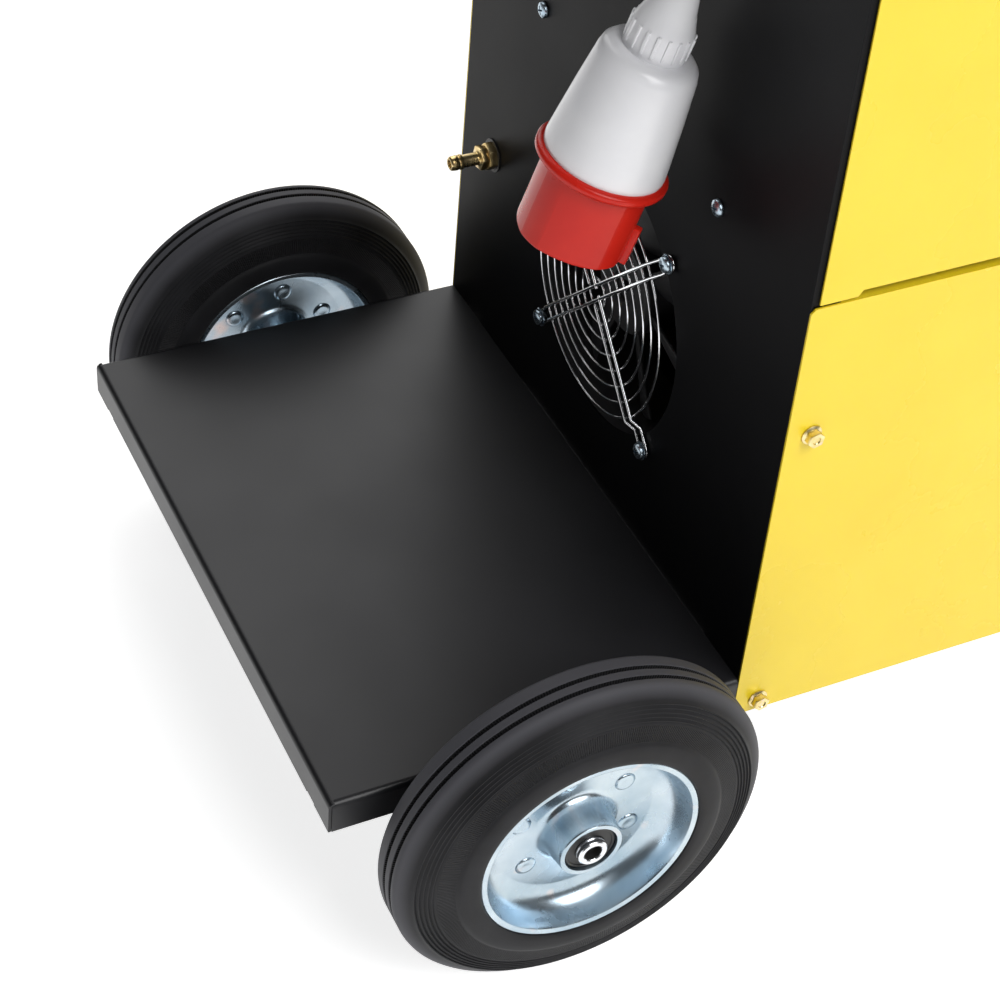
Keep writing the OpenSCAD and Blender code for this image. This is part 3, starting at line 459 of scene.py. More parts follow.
def tyreMaterial(settings):
    # Rubber with a band of fine radial hatching round the axle, a lighter band on the tread that is painted sheen,
    # and tread grooves painted dark as painted shade
    mat = surface("tyreRubber", settings["dark"], settings["light"], settings["rough"], scale=26,
                  bump=0.5, bumpScale=700, bumpDepth=0.06, specular=0.15)
    tree = mat.node_tree
    add, link = tree.nodes.new, tree.links.new

    def sums(operation, first, second=None):
        node = add("ShaderNodeMath")
        node.operation = operation
        for socket, value in zip(node.inputs, (first, second)):
            if value is None:
                continue
            if isinstance(value, (int, float)):
                socket.default_value = value
            else:
                link(value, socket)
        return node.outputs[0]

    where = next(n for n in tree.nodes if n.bl_idname == "ShaderNodeTexCoord")
    grainBump = next(n for n in tree.nodes if n.bl_idname == "ShaderNodeBump")
    split = add("ShaderNodeSeparateXYZ")
    link(where.outputs["Object"], split.inputs[0])
    y = sums("SUBTRACT", split.outputs["Y"], wheelMid.y)
    z = sums("SUBTRACT", split.outputs["Z"], wheelMid.z)
    radius = sums("SQRT", sums("ADD", sums("MULTIPLY", y, y), sums("MULTIPLY", z, z)))
    teeth = sums("SINE", sums("MULTIPLY", sums("ARCTAN2", y, z), settings["teeth"]))
    inside = sums("GREATER_THAN", radius, settings["hatchFrom"] * mm)
    outside = sums("LESS_THAN", radius, settings["hatchTo"] * mm)
    grooveMiddle = wheelMid.x + settings["grooveMid"] * mm
    offset = sums("ABSOLUTE", sums("SUBTRACT", sums("ABSOLUTE", split.outputs["X"]), grooveMiddle))
    # The groove mask carries the serration bumps and the painted shade that darkens the grooves
    inGroove = sums("MULTIPLY", sums("LESS_THAN", offset, settings["grooveReach"] * mm),
                    sums("LESS_THAN", radius, (tyre["radius"] - settings["grooveDeep"]) * mm))
    rise = sums("DIVIDE", sums("SUBTRACT", radius, settings["treadFrom"] * mm), settings["treadBlend"] * mm)
    onTread = sums("MINIMUM", sums("MAXIMUM", rise, 0.0), 1.0)
    inGroove = sums("MULTIPLY", inGroove, onTread)
    hatch = sums("MULTIPLY", teeth, sums("ADD", sums("MULTIPLY", inside, outside), inGroove))
    shader = tree.nodes["Principled BSDF"]
    rubber = shader.inputs["Base Color"].links[0].from_socket
    # First the tread is lightened as painted sheen, then the grooves are darkened as painted shade
    for mask, colour in ((sums("MULTIPLY", onTread, settings["treadSheenShare"]), settings["treadSheenColour"]),
                         (inGroove, settings["grooveShadeColour"])):
        mix = add("ShaderNodeMix")
        mix.data_type = "RGBA"
        mix.inputs["B"].default_value = (*colour, 1)
        link(mask, mix.inputs["Factor"])
        link(rubber, mix.inputs["A"])
        rubber = mix.outputs["Result"]
    link(rubber, shader.inputs["Base Color"])
    hatchBump = add("ShaderNodeBump")
    hatchBump.inputs["Strength"].default_value = 1.0
    hatchBump.inputs["Distance"].default_value = settings["hatchDepth"] * mm
    link(hatch, hatchBump.inputs["Height"])
    link(grainBump.outputs["Normal"], hatchBump.inputs["Normal"])
    link(hatchBump.outputs["Normal"], shader.inputs["Normal"])
    return mat


tyre = {"radius": 127, "grooveMid": 2.5, "grooveAt": 4.3, "ridges": 5, "ridgeFrom": 105.2, "ridgePitch": 2.6}
# The tread share and tread colour below paint a lighter tread: painted sheen
tyreRubber = tyreMaterial({"dark": (0.012, 0.012, 0.0135), "light": (0.022, 0.022, 0.0245), "rough": (0.48, 0.62),
                           "teeth": 420, "hatchFrom": 92, "hatchTo": 103, "hatchDepth": 0.35,
                           "grooveMid": tyre["grooveMid"], "grooveReach": 6.2, "grooveDeep": 0.5,
                           "treadFrom": 118.5, "treadBlend": 6.5,
                           "treadSheenShare": 0.5, "treadSheenColour": (0.12, 0.12, 0.136),
                           # The groove colour is painted shade in the tread grooves
                           "grooveShadeColour": (0.012, 0.012, 0.013)})

materialOfSlot = {
    "black_powder": blackPowder, "yellow_powder": yellowPowder, "zinc": zinc, "yellow_zinc": yellowZinc,
    "chrome": chrome, "brass": brass, "tyre": tyreRubber, "caster_tread": casterRubber,
    "grey_sheet": greySheet, "black_plastic": blackPlastic, "panel_plastic": panelPlastic,
    "red_plastic": redPlastic, "light_plastic": lightPlastic, "red_knob": redKnob,
    "roll_steel": rollSteel, "feed_alu": feedAlu, "motor_black": motorBlack, "core_iron": coreIron,
    "coil_copper": coilCopper, "heatsink": heatsinkAlu, "board": boardGreen, "cord_rubber": cordRubber}

for nodeName, nodeObject in nodes.items():
    nodeObject.data.materials.clear()
    nodeObject.data.materials.append(materialOfSlot[slotOfNode[nodeName]])


print("cord")
cordSettings = {"radius": 7, "coilMiddle": (70, 30), "lowLayer": 835, "highLayer": 849, "pointsPerTurn": 16,
                "turns": 5.5, "inwardTurns": 2, "outerTurn": 89, "turnPitch": 14, "climbDip": 4, "roundness": 4,
                "smoothness": 4, "intoPlug": (20, 40, 60)}
cordLead = [(80, 220, 758), (80, 236, 758), (81, 254, 753), (84, 269, 740), (90, 278, 720), (97, 279, 697),
            (107, 274, 676), (121, 265, 662), (138, 254, 658), (154, 243, 666), (166, 233, 684),
            (173, 225, 709), (177, 218, 738), (178, 214, 766), (177.5, 213, 791), (176.5, 208, 815),
            (174.5, 195, 835), (171, 175, 848), (166.5, 151, 853), (162.5, 126, 850), (160, 102, 843),
            (159, 84, 837), (159, 60, 835)]
cordTail = [(-24, 74, 849), (-28, 98, 850), (-36, 120, 852), (-50, 137, 853), (-61, 152, 853),
            (-74, 175, 848), (-82, 195, 835), (-87, 208, 815), (-90, 213, 791), (-92, 210, 763),
            (-94, 206, 733), (-95.5, 202, 703), (-96, 201, 678), (-95.5, 202, 658), (-92.5, 208, 632),
            (-90, 216, 603)]
plug = {"end": (-90, 216, 603), "tilt": 16.3, "turn": 17.8, "shroudRadius": 35.5, "shroudLength": 50,
        "collarRadius": 41.6, "collarLength": 6.7, "bodyLength": 75, "neckLength": 43, "pinCircle": 20,
        "flatDepth": 1.7, "flatAngle": 77, "flatHalf": 33, "keyAngle": 240,
        "wall": 3, "grips": 18, "pins": 5, "earthPin": 3.5, "pin": 3.0}
plugLength = (plug["shroudLength"] + plug["collarLength"] + plug["bodyLength"]
              + plug["neckLength"])
plugPlace = (Matrix.Translation(Vector(plug["end"]) * mm)
             @ Matrix.Rotation(math.radians(-plug["turn"]), 4, "Z")
             @ Matrix.Rotation(math.radians(plug["tilt"]), 4, "X")
             @ Matrix.Translation((0, 0, -plugLength * mm)))


def coilPoints():
    # Clockwise seen from above: two turns inwards below, then back out on top of them
    cord = cordSettings
    mx, my = cord["coilMiddle"]
    low, high = cord["lowLayer"], cord["highLayer"]
    innerTurn = cord["outerTurn"] - cord["turnPitch"] * cord["inwardTurns"]
    points = []
    stepCount = int(cord["turns"] * cord["pointsPerTurn"])
    for i in range(1, stepCount):
        turn = cord["turns"] * i / stepCount
        climbed = turn - cord["inwardTurns"]
        if climbed < 0:
            radius, height = cord["outerTurn"] - cord["turnPitch"] * turn, low
        elif climbed < 1:
            radius = innerTurn - cord["climbDip"] * math.sin(math.pi * climbed)
            height = low + (high - low) * (1 - math.cos(math.pi * climbed)) / 2
        else:
            radius, height = innerTurn + cord["turnPitch"] * (climbed - 1), high
        angle = -2 * math.pi * turn
        points.append((mx + radius * math.cos(angle), my + radius * math.sin(angle), height))
    return points


intoPlug = [tuple(v / mm for v in plugPlace @ Vector((0, 0, (plugLength - deep) * mm)))
            for deep in cordSettings["intoPlug"]]
route = cordLead + coilPoints() + cordTail + intoPlug
curveData = bpy.data.curves.new("mains_cord", "CURVE")
curveData.dimensions = "3D"
curveData.bevel_depth = cordSettings["radius"] * mm
curveData.bevel_resolution = cordSettings["roundness"]
curveData.resolution_u = cordSettings["smoothness"]
curveData.use_fill_caps = True
spline = curveData.splines.new("BEZIER")
spline.bezier_points.add(len(route) - 1)
for knot, place in zip(spline.bezier_points, route):
    knot.co = Vector(place) * mm
    knot.handle_left_type = knot.handle_right_type = "AUTO"
mainsCord = bpy.data.objects.new("mains_cord", curveData)
scene.collection.objects.link(mainsCord)
mainsCord.data.materials.append(cordRubber)
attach(mainsCord, "chassis")
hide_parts("cord_lead", "cord_coil", "cord_tail")

print("plug")
shroudRadius, shroudLength = plug["shroudRadius"], plug["shroudLength"]
collarTop = shroudLength + plug["collarLength"]

plugShroud = turned("plug_shroud_shell", [
    (shroudLength - 5, 0), (shroudLength - 5, shroudRadius - 5.4), (0.6, shroudRadius - 5.1),
    (0, shroudRadius - 4.4), (0, shroudRadius - 0.9), (0.6, shroudRadius - 0.2), (1.2, shroudRadius),
    (shroudLength + 1, shroudRadius), (shroudLength + 1, 0)], Matrix(), steps=128)
tidyShell(plugShroud)
for vertex in plugShroud.data.vertices:
    # Four wide, slightly bulged faces on the outer wall
    across = math.hypot(vertex.co.x, vertex.co.y)
    if across > (shroudRadius - plug["wall"]) * mm:
        angle = (math.degrees(math.atan2(vertex.co.y, vertex.co.x)) - plug["flatAngle"] + 45) % 90 - 45
        if abs(angle) < plug["flatHalf"]:
            shrink = 1 - plug["flatDepth"] * mm * (1 - (angle / plug["flatHalf"]) ** 2) / across
            vertex.co.x *= shrink
            vertex.co.y *= shrink
smoothed(plugShroud, 3)
put(plugShroud, plugPlace)
keyPlace = plugPlace @ Matrix.Rotation(math.radians(plug["keyAngle"]), 4, "Z")
plugKey = slab("plug_key", ((shroudRadius - plug["wall"]) * mm, -0.003, 0.0002),
               ((shroudRadius + 3) * mm, 0.003, 0.026), 1.0 * mm, keyPlace)
plugCollar = turned("plug_collar", [
    (shroudLength, 20), (shroudLength, plug["collarRadius"] - 3), (shroudLength + 0.5, plug["collarRadius"] - 1.2),
    (shroudLength + 1.8, plug["collarRadius"] - 0.1), (shroudLength + 4.4, plug["collarRadius"]),
    (collarTop - 1.0, plug["collarRadius"] - 1.0), (collarTop, plug["collarRadius"] - 3.2), (collarTop, 20)],
    plugPlace, steps=96, closed=True, degrees=50)
plugRed = joined("plug_shroud_red", [plugShroud, plugKey, plugCollar])
finishPiece(plugRed, redPlastic, "chassis", "plug_shroud", slot="red_plastic")

bodyEnd = collarTop + plug["bodyLength"]
plugBody = turned("plug_body_light", [
    (collarTop - 2, 0), (collarTop - 2, shroudRadius + 1.5), (collarTop, shroudRadius + 2.3),
    (collarTop + 3, shroudRadius + 2.5), (collarTop + 12, shroudRadius + 1.6),
    (collarTop + 40, shroudRadius - 1.4), (bodyEnd - 9, shroudRadius - 4.6), (bodyEnd - 4, shroudRadius - 6),
    (bodyEnd - 1, shroudRadius - 9), (bodyEnd, shroudRadius - 12.5), (bodyEnd, 19.2), (bodyEnd + 0.6, 19),
    (bodyEnd + 2, 19.4), (bodyEnd + 17, 18.8), (bodyEnd + 20, 17.6), (bodyEnd + 30, 14.2),
    (bodyEnd + plug["neckLength"] - 2, 11.6), (bodyEnd + plug["neckLength"], 10.4),
    (bodyEnd + plug["neckLength"], 0)],
    plugPlace, steps=96, degrees=40)
gripRibs = [slab("grip", (0.0180, -0.0011, (bodyEnd + 3) * mm), (0.0200, 0.0011, (bodyEnd + 17) * mm),
                 0.5 * mm, plugPlace @ Matrix.Rotation(math.radians(360 / plug["grips"] * k), 4, "Z"))
            for k in range(plug["grips"])]
plugLight = joined("plug_body_shell", [plugBody] + gripRibs)
finishPiece(plugLight, lightPlastic, "chassis", "plug_body", slot="light_plastic")

pinPieces = []
for k in range(plug["pins"]):
    pinRadius = plug["earthPin"] if k == 0 else plug["pin"]
    pinPlace = (plugPlace @ Matrix.Rotation(math.radians(360 / plug["pins"] * k), 4, "Z")
                @ Matrix.Translation((plug["pinCircle"] * mm, 0, 0)))
    pinPieces.append(turned("pin", [(10, 0), (10, pinRadius - 1.6), (10.6, pinRadius - 0.7), (12, pinRadius),
                                    (shroudLength - 4, pinRadius), (shroudLength - 4, 0)], pinPlace, 24))
plugPins = joined("plug_pin_set", pinPieces)
finishPiece(plugPins, brass, "chassis", "plug_pins", slot="brass")
plugInsert = turned("plug_insert", [(34, 0), (34, 29), (35.5, 30.0), (shroudLength - 4, 30.0), (shroudLength - 4, 0)],
                    plugPlace, 64)
finishPiece(plugInsert, blackPlastic, "chassis", slot="black_plastic")


def makeGland():
    middle = middleOf("cable_gland")
    place = facing((0, 1, 0), (middle.x, rearFace, middle.z))
    nut = prism("gland_nut", 6, 15, 0.1, 8, place, 0.8)
    dome = turned("gland_dome", [(8, 7.2), (8, 12.6), (8.5, 13), (19, 13), (21.5, 12.4), (23, 11.4), (31, 9),
                                 (32, 8.4), (32, 7.2)], place, 64, closed=True)
    ribs = [slab("rib", (0.0124, -0.0008, 0.009), (0.0136, 0.0008, 0.019), 0.3 * mm,
                 place @ Matrix.Rotation(math.radians(24 * k), 4, "Z")) for k in range(15)]
    stem = turned("gland_stem", [(-16, 7.2), (-16, 9.6), (-15.4, 10), (0.5, 10), (0.5, 7.2)], place, 48, closed=True)
    inner = prism("gland_lock", 6, 15, -7.5, -1.6, place, 0.6)
    piece = joined("cable_gland_full", [nut, dome, stem, inner] + ribs)
    finishPiece(piece, blackPlastic, "chassis", "cable_gland", slot="black_plastic")


makeGland()

print("wheels")
rimSettings = {"dimpleAt": 41.5, "dimples": 6, "dimpleTurn": 9}


def tyreSide():
    # (offset from the middle, radius), from the rim seat out to the shoulder
    side = [(27.2, 75), (28.3, 75.6), (28.9, 77.2), (29, 80), (28.9, 84), (28.3, 88.4), (27.5, 90.3), (26.9, 90.9),
            (26.5, 91.6), (26.2, 92.4), (24.9, 98), (23.9, 103), (23.4, 104.6)]
    wall = [(105, 23.3), (111, 21.4), (115, 19.9), (119, 18.0)]
    for k in range(tyre["ridges"]):
        radius = tyre["ridgeFrom"] + tyre["ridgePitch"] * k
        for (r0, x0), (r1, x1) in zip(wall, wall[1:]):
            if r0 <= radius <= r1:
                base = x0 + (x1 - x0) * (radius - r0) / (r1 - r0)
        side += [(base - 0.25, radius), (base + 0.45, radius + 0.5), (base + 0.4, radius + 1.1),
                 (base - 0.55, radius + 1.7)]
    return side + [(17.6, 119.2), (16.2, 121.6), (14.4, 124), (12.9, 125.7), (11.6, 126.7), (10.4, 127)]


def treadGrooves():
    points = []
    for centre in (tyre["grooveMid"] + tyre["grooveAt"], tyre["grooveMid"] - tyre["grooveAt"]):
        points += [(centre + 1.9, 127), (centre + 1.6, 126.6), (centre + 1.2, 124), (centre - 1.2, 124),
                   (centre - 1.6, 126.6), (centre - 1.9, 127)]
    return points


def makeTyre(side, centre, body, node):
    flank = tyreSide()
    outline = flank + treadGrooves() + [(-along, radius) for along, radius in reversed(flank)]
    piece = turned(node + "_full", outline, facing((side, 0, 0), centre), 160, closed=True, degrees=40)
    finishPiece(piece, tyreRubber, body, node, slot="tyre")


def makeRim(side, centre, body, node):
    place = facing((side, 0, 0), centre)
    face = [(27.1, 75), (27.6, 74.4), (27.6, 72.0), (27.1, 70.9), (25.6, 70.3), (21, 69.6), (15.5, 68.4),
            (11.2, 66.4), (8.2, 63.6), (6.4, 60.4), (5.4, 57.2), (4.6, 55.4), (4.2, 53.6), (4.2, 31), (4.5, 28.6),
            (5.6, 26.6), (7.6, 25.2), (11, 24.1), (15.5, 23.2), (20, 22.5), (24, 21.9), (26.2, 21.6),
            (26.9, 21.2), (27.1, 20.6), (27.1, 18.6), (26.8, 18.2), (22.5, 18.0), (22.5, 11.2)]
    outline = face + [(-along, radius) for along, radius in reversed(face)]
    shell = turned(node + "_shell", outline, place, 144, closed=True, degrees=38)
    dimples = []
    for k in range(rimSettings["dimples"]):
        angle = math.radians(360 / rimSettings["dimples"] * k + rimSettings["dimpleTurn"])
        around = Matrix.Rotation(angle, 4, "Z") @ Matrix.Translation((rimSettings["dimpleAt"] * mm, 0, 0))
        for flip in (Matrix(), Matrix.Rotation(math.pi, 4, "X")):
            dimples.append(turned("dimple", [(3.6, 7.2), (4.35, 7.1), (5.0, 6.4), (5.5, 5.4), (5.6, 4.4), (5.3, 2.4),
                                             (5.2, 0)], place @ around @ flip, 32, degrees=60))
    rimPiece = joined(node + "_full", [shell] + dimples)
    finishPiece(rimPiece, zinc, body, node, slot="zinc")
    seal = turned(node + "_seal", [(22.4, 17.9), (24.2, 17.7), (24.9, 16.8), (24.9, 15.6), (24.2, 15.2), (24.2, 12.4),
                                   (24.6, 11.4), (24.6, 10.4), (22.4, 10.4)], place, 72, closed=True)
    back = turned(node + "_seal_back", [(-22.4, 17.9), (-24.4, 17.6), (-24.4, 10.4), (-22.4, 10.4)], place, 72,
                  closed=True)
    sealPiece = joined(node + "_seals", [seal, back])
    finishPiece(sealPiece, sealRubber, body, slot="tyre")


for sideName, side in (("left", -1), ("right", 1)):
    centre = middleOf("tyre_" + sideName)
    makeTyre(side, centre, "wheel_" + sideName, "tyre_" + sideName)
    makeRim(side, centre, "wheel_" + sideName, "rim_" + sideName)


def makeAxle():
    mid = middleOf("rear_axle")
    end = (highOf("rear_axle").x - lowOf("rear_axle").x) / 2 / mm
    place = facing((1, 0, 0), mid)
    outline = [(end - 6, 0), (end - 6, 6.0), (end - 0.6, 6.2), (end, 6.8), (end, 9.2), (end - 0.8, 10.0),
               (end - 3, 10), (end - 3, 9.2), (end - 4.2, 9.2), (end - 4.2, 10)]
    inner = middleOf("tyre_right").x / mm - 29
    outline += [(inner, 10), (inner, 15.4), (inner - 0.6, 16), (inner - 3.4, 16), (inner - 4, 15.4), (inner - 4, 10)]
    whole = outline + [(-along, radius) for along, radius in reversed(outline)]
    piece = turned("rear_axle_full", whole, place, 64)
    finishPiece(piece, axleSteel, "chassis", "rear_axle", slot="zinc")
    # Near-black cups lining the axle's end bores: painted shade in the hollows
    bores = [turned("bore", [(way * (end - 5.9), 0), (way * (end - 5.9), 5.9), (way * (end - 0.9), 5.9),
                             (way * (end - 0.9), 5.6), (way * (end - 5.6), 5.6), (way * (end - 5.6), 0)], place, 32)
             for way in (1, -1)]
    finishPiece(joined("axle_bore_shade", bores), deepShade, "chassis", slot="motor_black")


makeAxle()

print("guard and fasteners")
guard = {"rings": 8, "ringRadius": 85, "ringWire": 0.85, "ringDrop": 1.9, "spokeWire": 1.25, "spokeGap": 4.6,
         "stand": 7.0, "screwStand": 1.6, "half": 76.5, "crankStart": 21, "crankEnd": 14}
fasteners = {"guardLift": 2.9, "panelLift": 0.1, "screwToEdge": 6.5, "boltToEdge": 6.8, "slotAngles": (25, 115),
             "hexTurn": 17}


def hairpin(name, fromAlong, toAlong, place, closedEnd=False):
    # Two wires side by side with a loop round the screw, cranked down just before it
    reach = guard["half"] * math.sqrt(2)
    gap, high, low = guard["spokeGap"], guard["stand"], guard["screwStand"]
    crankHigh, crankLow = reach - guard["crankStart"], reach - guard["crankEnd"]
    loop = [(reach + gap * math.cos(math.radians(a)), gap * math.sin(math.radians(a)), low)
            for a in range(90, -91, -15)]
    if closedEnd:
        lower = [(crankLow, -gap, low), (crankHigh, -gap, high), (-crankHigh, -gap, high), (-crankLow, -gap, low)]
        path = loop + lower + [(-x, y, z) for x, y, z in reversed(loop)] + [(-x, -y, z) for x, y, z in lower]
        path.append(path[0])
    else:
        path = ([(fromAlong, gap, high), (crankHigh, gap, high), (crankLow, gap, low)] + loop
                + [(crankLow, -gap, low), (crankHigh, -gap, high), (toAlong, -gap, high)])
    line = drawLine(name, [(x * mm, y * mm, z * mm) for x, y, z in path])
    if closedEnd:
        tidyShell(line)
    wire = thickened(line, guard["spokeWire"] * mm)
    put(wire, place)
    return wire


def makeGuard():
    place = facing((0, 1, 0), fanMid)
    parts = []
    for k in range(1, guard["rings"] + 1):
        deselectAll()
        bpy.ops.mesh.primitive_torus_add(major_radius=guard["ringRadius"] * k / guard["rings"] * mm,
                                         minor_radius=guard["ringWire"] * mm, major_segments=40 + 10 * k,
                                         minor_segments=8, location=(0, 0, (guard["stand"] - guard["ringDrop"]) * mm))
        ring = bpy.context.object
        applyAll(ring)
        put(ring, place)
        parts.append(smoothed(ring, 60))

    def along(towards):
        # The long pair runs from top -X to bottom +X
        xAxis = Vector(towards).normalized()
        zAxis = Vector((0, 1, 0))
        yAxis = zAxis.cross(xAxis)
        turn = Matrix((xAxis, yAxis, zAxis)).transposed().to_4x4()
        return Matrix.Translation(fanMid) @ turn
    parts.append(hairpin("spoke_long", 0, 0, along((1, 0, -1)), closedEnd=True))
    parts.append(hairpin("spoke_a", 7.5, 2.5, along((1, 0, 1))))
    parts.append(hairpin("spoke_b", 2.5, 7.5, along((-1, 0, -1))))
    piece = joined("fan_guard_wires", parts)
    finishPiece(piece, chrome, "chassis", "fan_guard", slot="chrome")


makeGuard()


def panScrew(name, place, washer, base):
    parts = []
    if washer:
        parts.append(turned("washer", [(base, 3), (base, 6.3), (base + 0.3, 6.6), (base + 1.0, 6.6),
                                       (base + 1.3, 6.3), (base + 1.3, 3)], place, 40, closed=True))
        base += 1.3
    head = turned("head", [(base - 14, 0), (base - 14, 2.6), (base - 13.4, 3), (base, 3), (base, 5.2),
                           (base + 0.4, 5.6), (base + 1.4, 5.6), (base + 2.4, 5.1), (base + 3.1, 4.0),
                           (base + 3.5, 2.4), (base + 3.6, 0)], Matrix(), 40)
    slots = [slab("slot", (-0.003, -0.0006, (base + 1.7) * mm), (0.003, 0.0006, (base + 6) * mm), 0,
                  Matrix.Rotation(math.radians(a), 4, "Z")) for a in fasteners["slotAngles"]]
    cutAway(head, *slots)
    smoothed(head, 30)
    put(head, place)
    parts.append(head)
    return joined(name, parts)


guardScrews = [panScrew("screw", facing((0, 1, 0), fanMid + Vector((sx, 0, sz)) * guard["half"] * mm),
                        True, fasteners["guardLift"]) for sx in (-1, 1) for sz in (-1, 1)]
finishPiece(joined("guard_screw_set", guardScrews), zinc, "chassis", "guard_screws", slot="zinc")

panelScrewZ = middleOf("panel_screws").z
panelScrewX = (highOf("panel_screws").x - lowOf("panel_screws").x) / 2 - fasteners["screwToEdge"] * mm
panelScrews = [panScrew("screw", facing((0, 1, 0), (way * panelScrewX, rearFace, panelScrewZ)), False,
                        fasteners["panelLift"]) for way in (-1, 1)]
finishPiece(joined("panel_screw_set", panelScrews), zinc, "chassis", "panel_screws", slot="zinc")


def flangeBolt(name, place):
    flange = turned("flange", [(0.05, 2), (0.05, 6.6), (0.4, 6.9), (0.9, 6.8), (1.8, 5.4), (2.2, 4.4), (2.2, 2)],
                    place, 48, closed=True)
    head = prism("hex", 6, 5.75, 1.2, 6.6, Matrix(), 0.5, math.radians(fasteners["hexTurn"]))
    dish = turned("dish", [(5.7, 0), (5.9, 2.2), (7.6, 3.4), (8, 0)], Matrix(), 32)
    cutAway(head, dish)
    smoothed(head, 30)
    put(head, place)
    stem = turned("stem", [(-11, 0), (-11, 2.5), (-10.4, 3), (1, 3), (1, 0)], place, 24)
    return joined(name, [flange, head, stem])


boltLow, boltHigh = lowOf("side_bolts"), highOf("side_bolts")
sideFace = highOf("lower_side_right").x
bolts = []
for way in (-1, 1):
    for z in (boltLow.z + fasteners["boltToEdge"] * mm, boltHigh.z - fasteners["boltToEdge"] * mm):
        bolts.append(flangeBolt("bolt", facing((way, 0, 0), (way * sideFace, (boltLow.y + boltHigh.y) / 2, z))))
finishPiece(joined("side_bolt_set", bolts), yellowZinc, "chassis", "side_bolts", slot="yellow_zinc")


def makeNipple():
    mid = middleOf("gas_nipple")
    place = facing((0, 1, 0), (mid.x, rearFace, mid.z))
    hexes = [prism("hexBack", 6, 10.4, 0.1, 6.6, place, 0.7, 0.3),
             prism("hexFront", 6, 9.2, 6.9, 12, place, 0.7, 0.75),
             prism("lockNut", 6, 9.8, -10, -2, place, 0.6)]
    tube = turned("tube", [(-13.8, 2.2), (-13.8, 5.6), (-13.4, 6), (0.5, 6), (6.5, 7.4), (7, 7.4), (12, 6.4),
                           (12.4, 5.6), (12.8, 4.9), (13.6, 4.7), (24.4, 4.7), (24.8, 5.4), (25.4, 5.6),
                           (26.8, 5.5), (27.2, 4.9), (27.8, 4.8), (28.2, 5.3), (29, 5.5), (32.8, 5.2),
                           (33.6, 4.8), (34, 4.2), (34, 3.2), (33.4, 2.9), (28, 2.6), (27, 2.2)],
                  place, 48, closed=True)
    hole = turned("hole", [(-20, 0), (-20, 2.1), (20, 2.1), (20, 0)], place, 32)
    for piece in hexes:
        cutAway(piece, copied(hole, "holeCopy", Matrix()))
        smoothed(piece)
    bpy.data.objects.remove(hole)
    piece = joined("gas_nipple_full", [tube] + hexes)
    finishPiece(piece, brass, "chassis", "gas_nipple", slot="brass")
    washer = turned("gas_washer", [(0.05, 6.2), (0.05, 12.2), (0.9, 12.2), (0.9, 6.2)], place, 48, closed=True)
    finishPiece(washer, blackPlastic, "chassis", slot="black_plastic")


makeNipple()

print("fan")
rotor = {"blades": 7, "across": 6, "along": 8, "hub": 34, "rootWidth": 34, "widthGain": 18, "sweep": 0.10,
         "rootPitch": 40, "pitchFall": 14, "lean": 0.82, "crown": 4, "tipGap": 0.5, "rootDeep": 2, "tipPast": 1,
         "thickness": 2.2}

def makeRotor():
    low, high = lowOf("fan_rotor"), highOf("fan_rotor")
    mid = (low + high) / 2
    tip = (high.z - low.z) / 2 - rotor["tipGap"] * mm
    hubRadius = rotor["hub"] * mm
    place = facing((0, 1, 0), (mid.x, mid.y, mid.z))
    hub = turned("hub", [(-15, 4.2), (-15, 31), (-14, 33.4), (12, 33.8), (14.6, 32), (15, 30), (15, 12), (14, 11),
                         (12, 10.6), (12, 4.2)], place, 64, closed=True)
    blades = []
    for k in range(rotor["blades"]):
        deselectAll()
        bpy.ops.mesh.primitive_grid_add(x_subdivisions=rotor["across"], y_subdivisions=rotor["along"], size=1)
        blade = bpy.context.object
        for vertex in blade.data.vertices:
            share, chord = vertex.co.x + 0.5, vertex.co.y
            radius = hubRadius - rotor["rootDeep"] * mm + (tip - hubRadius + rotor["tipPast"] * mm) * share
            width = (rotor["rootWidth"] + rotor["widthGain"] * share) * mm
            pitch = math.radians(rotor["rootPitch"] - rotor["pitchFall"] * share)
            angle = chord * width * math.cos(pitch) / radius + rotor["sweep"] * share
            lift = chord * width * math.sin(pitch) * rotor["lean"] + rotor["crown"] * mm * (1 - 4 * chord * chord)
            vertex.co = (radius * math.cos(angle), radius * math.sin(angle), lift)
        withModifier(blade, "SOLIDIFY", thickness=rotor["thickness"] * mm, offset=0)
        roundedEdges(blade, 0.0006, 2, 40)
        put(blade, place @ Matrix.Rotation(2 * math.pi * k / rotor["blades"], 4, "Z"))
        blades.append(smoothed(blade, 40))
    piece = joined("fan_rotor_full", [hub] + blades)
    finishPiece(piece, blackPlastic, "fan", "fan_rotor", slot="black_plastic")


makeRotor()

print("sheets and machined pieces")
easing = {"merge": 2e-6, "flatAngle": 0.8, "smoothAngle": 34, "faceWeight": 80}


def evenlyShaded(obj):
    # Broad flat faces stay flat beside their rounded edges
    smoothed(obj, easing["smoothAngle"])
    withModifier(obj, "WEIGHTED_NORMAL", keep_sharp=True, weight=easing["faceWeight"])


def softened(node, width, material):
    # A copy of the node's mesh with its loose triangles merged and its edges rounded
    obj = bpy.data.objects.new(node + "_eased", nodes[node].data.copy())
    scene.collection.objects.link(obj)
    pick(obj)
    bpy.ops.object.mode_set(mode="EDIT")
    bpy.ops.mesh.select_all(action="SELECT")
    bpy.ops.mesh.remove_doubles(threshold=easing["merge"])
    bpy.ops.mesh.dissolve_limited(angle_limit=math.radians(easing["flatAngle"]))
    bpy.ops.object.mode_set(mode="OBJECT")
    roundedEdges(obj, width * mm)
    evenlyShaded(obj)
    finishPiece(obj, material, bodyOfNode[node], node, slot=slotOfNode[node])


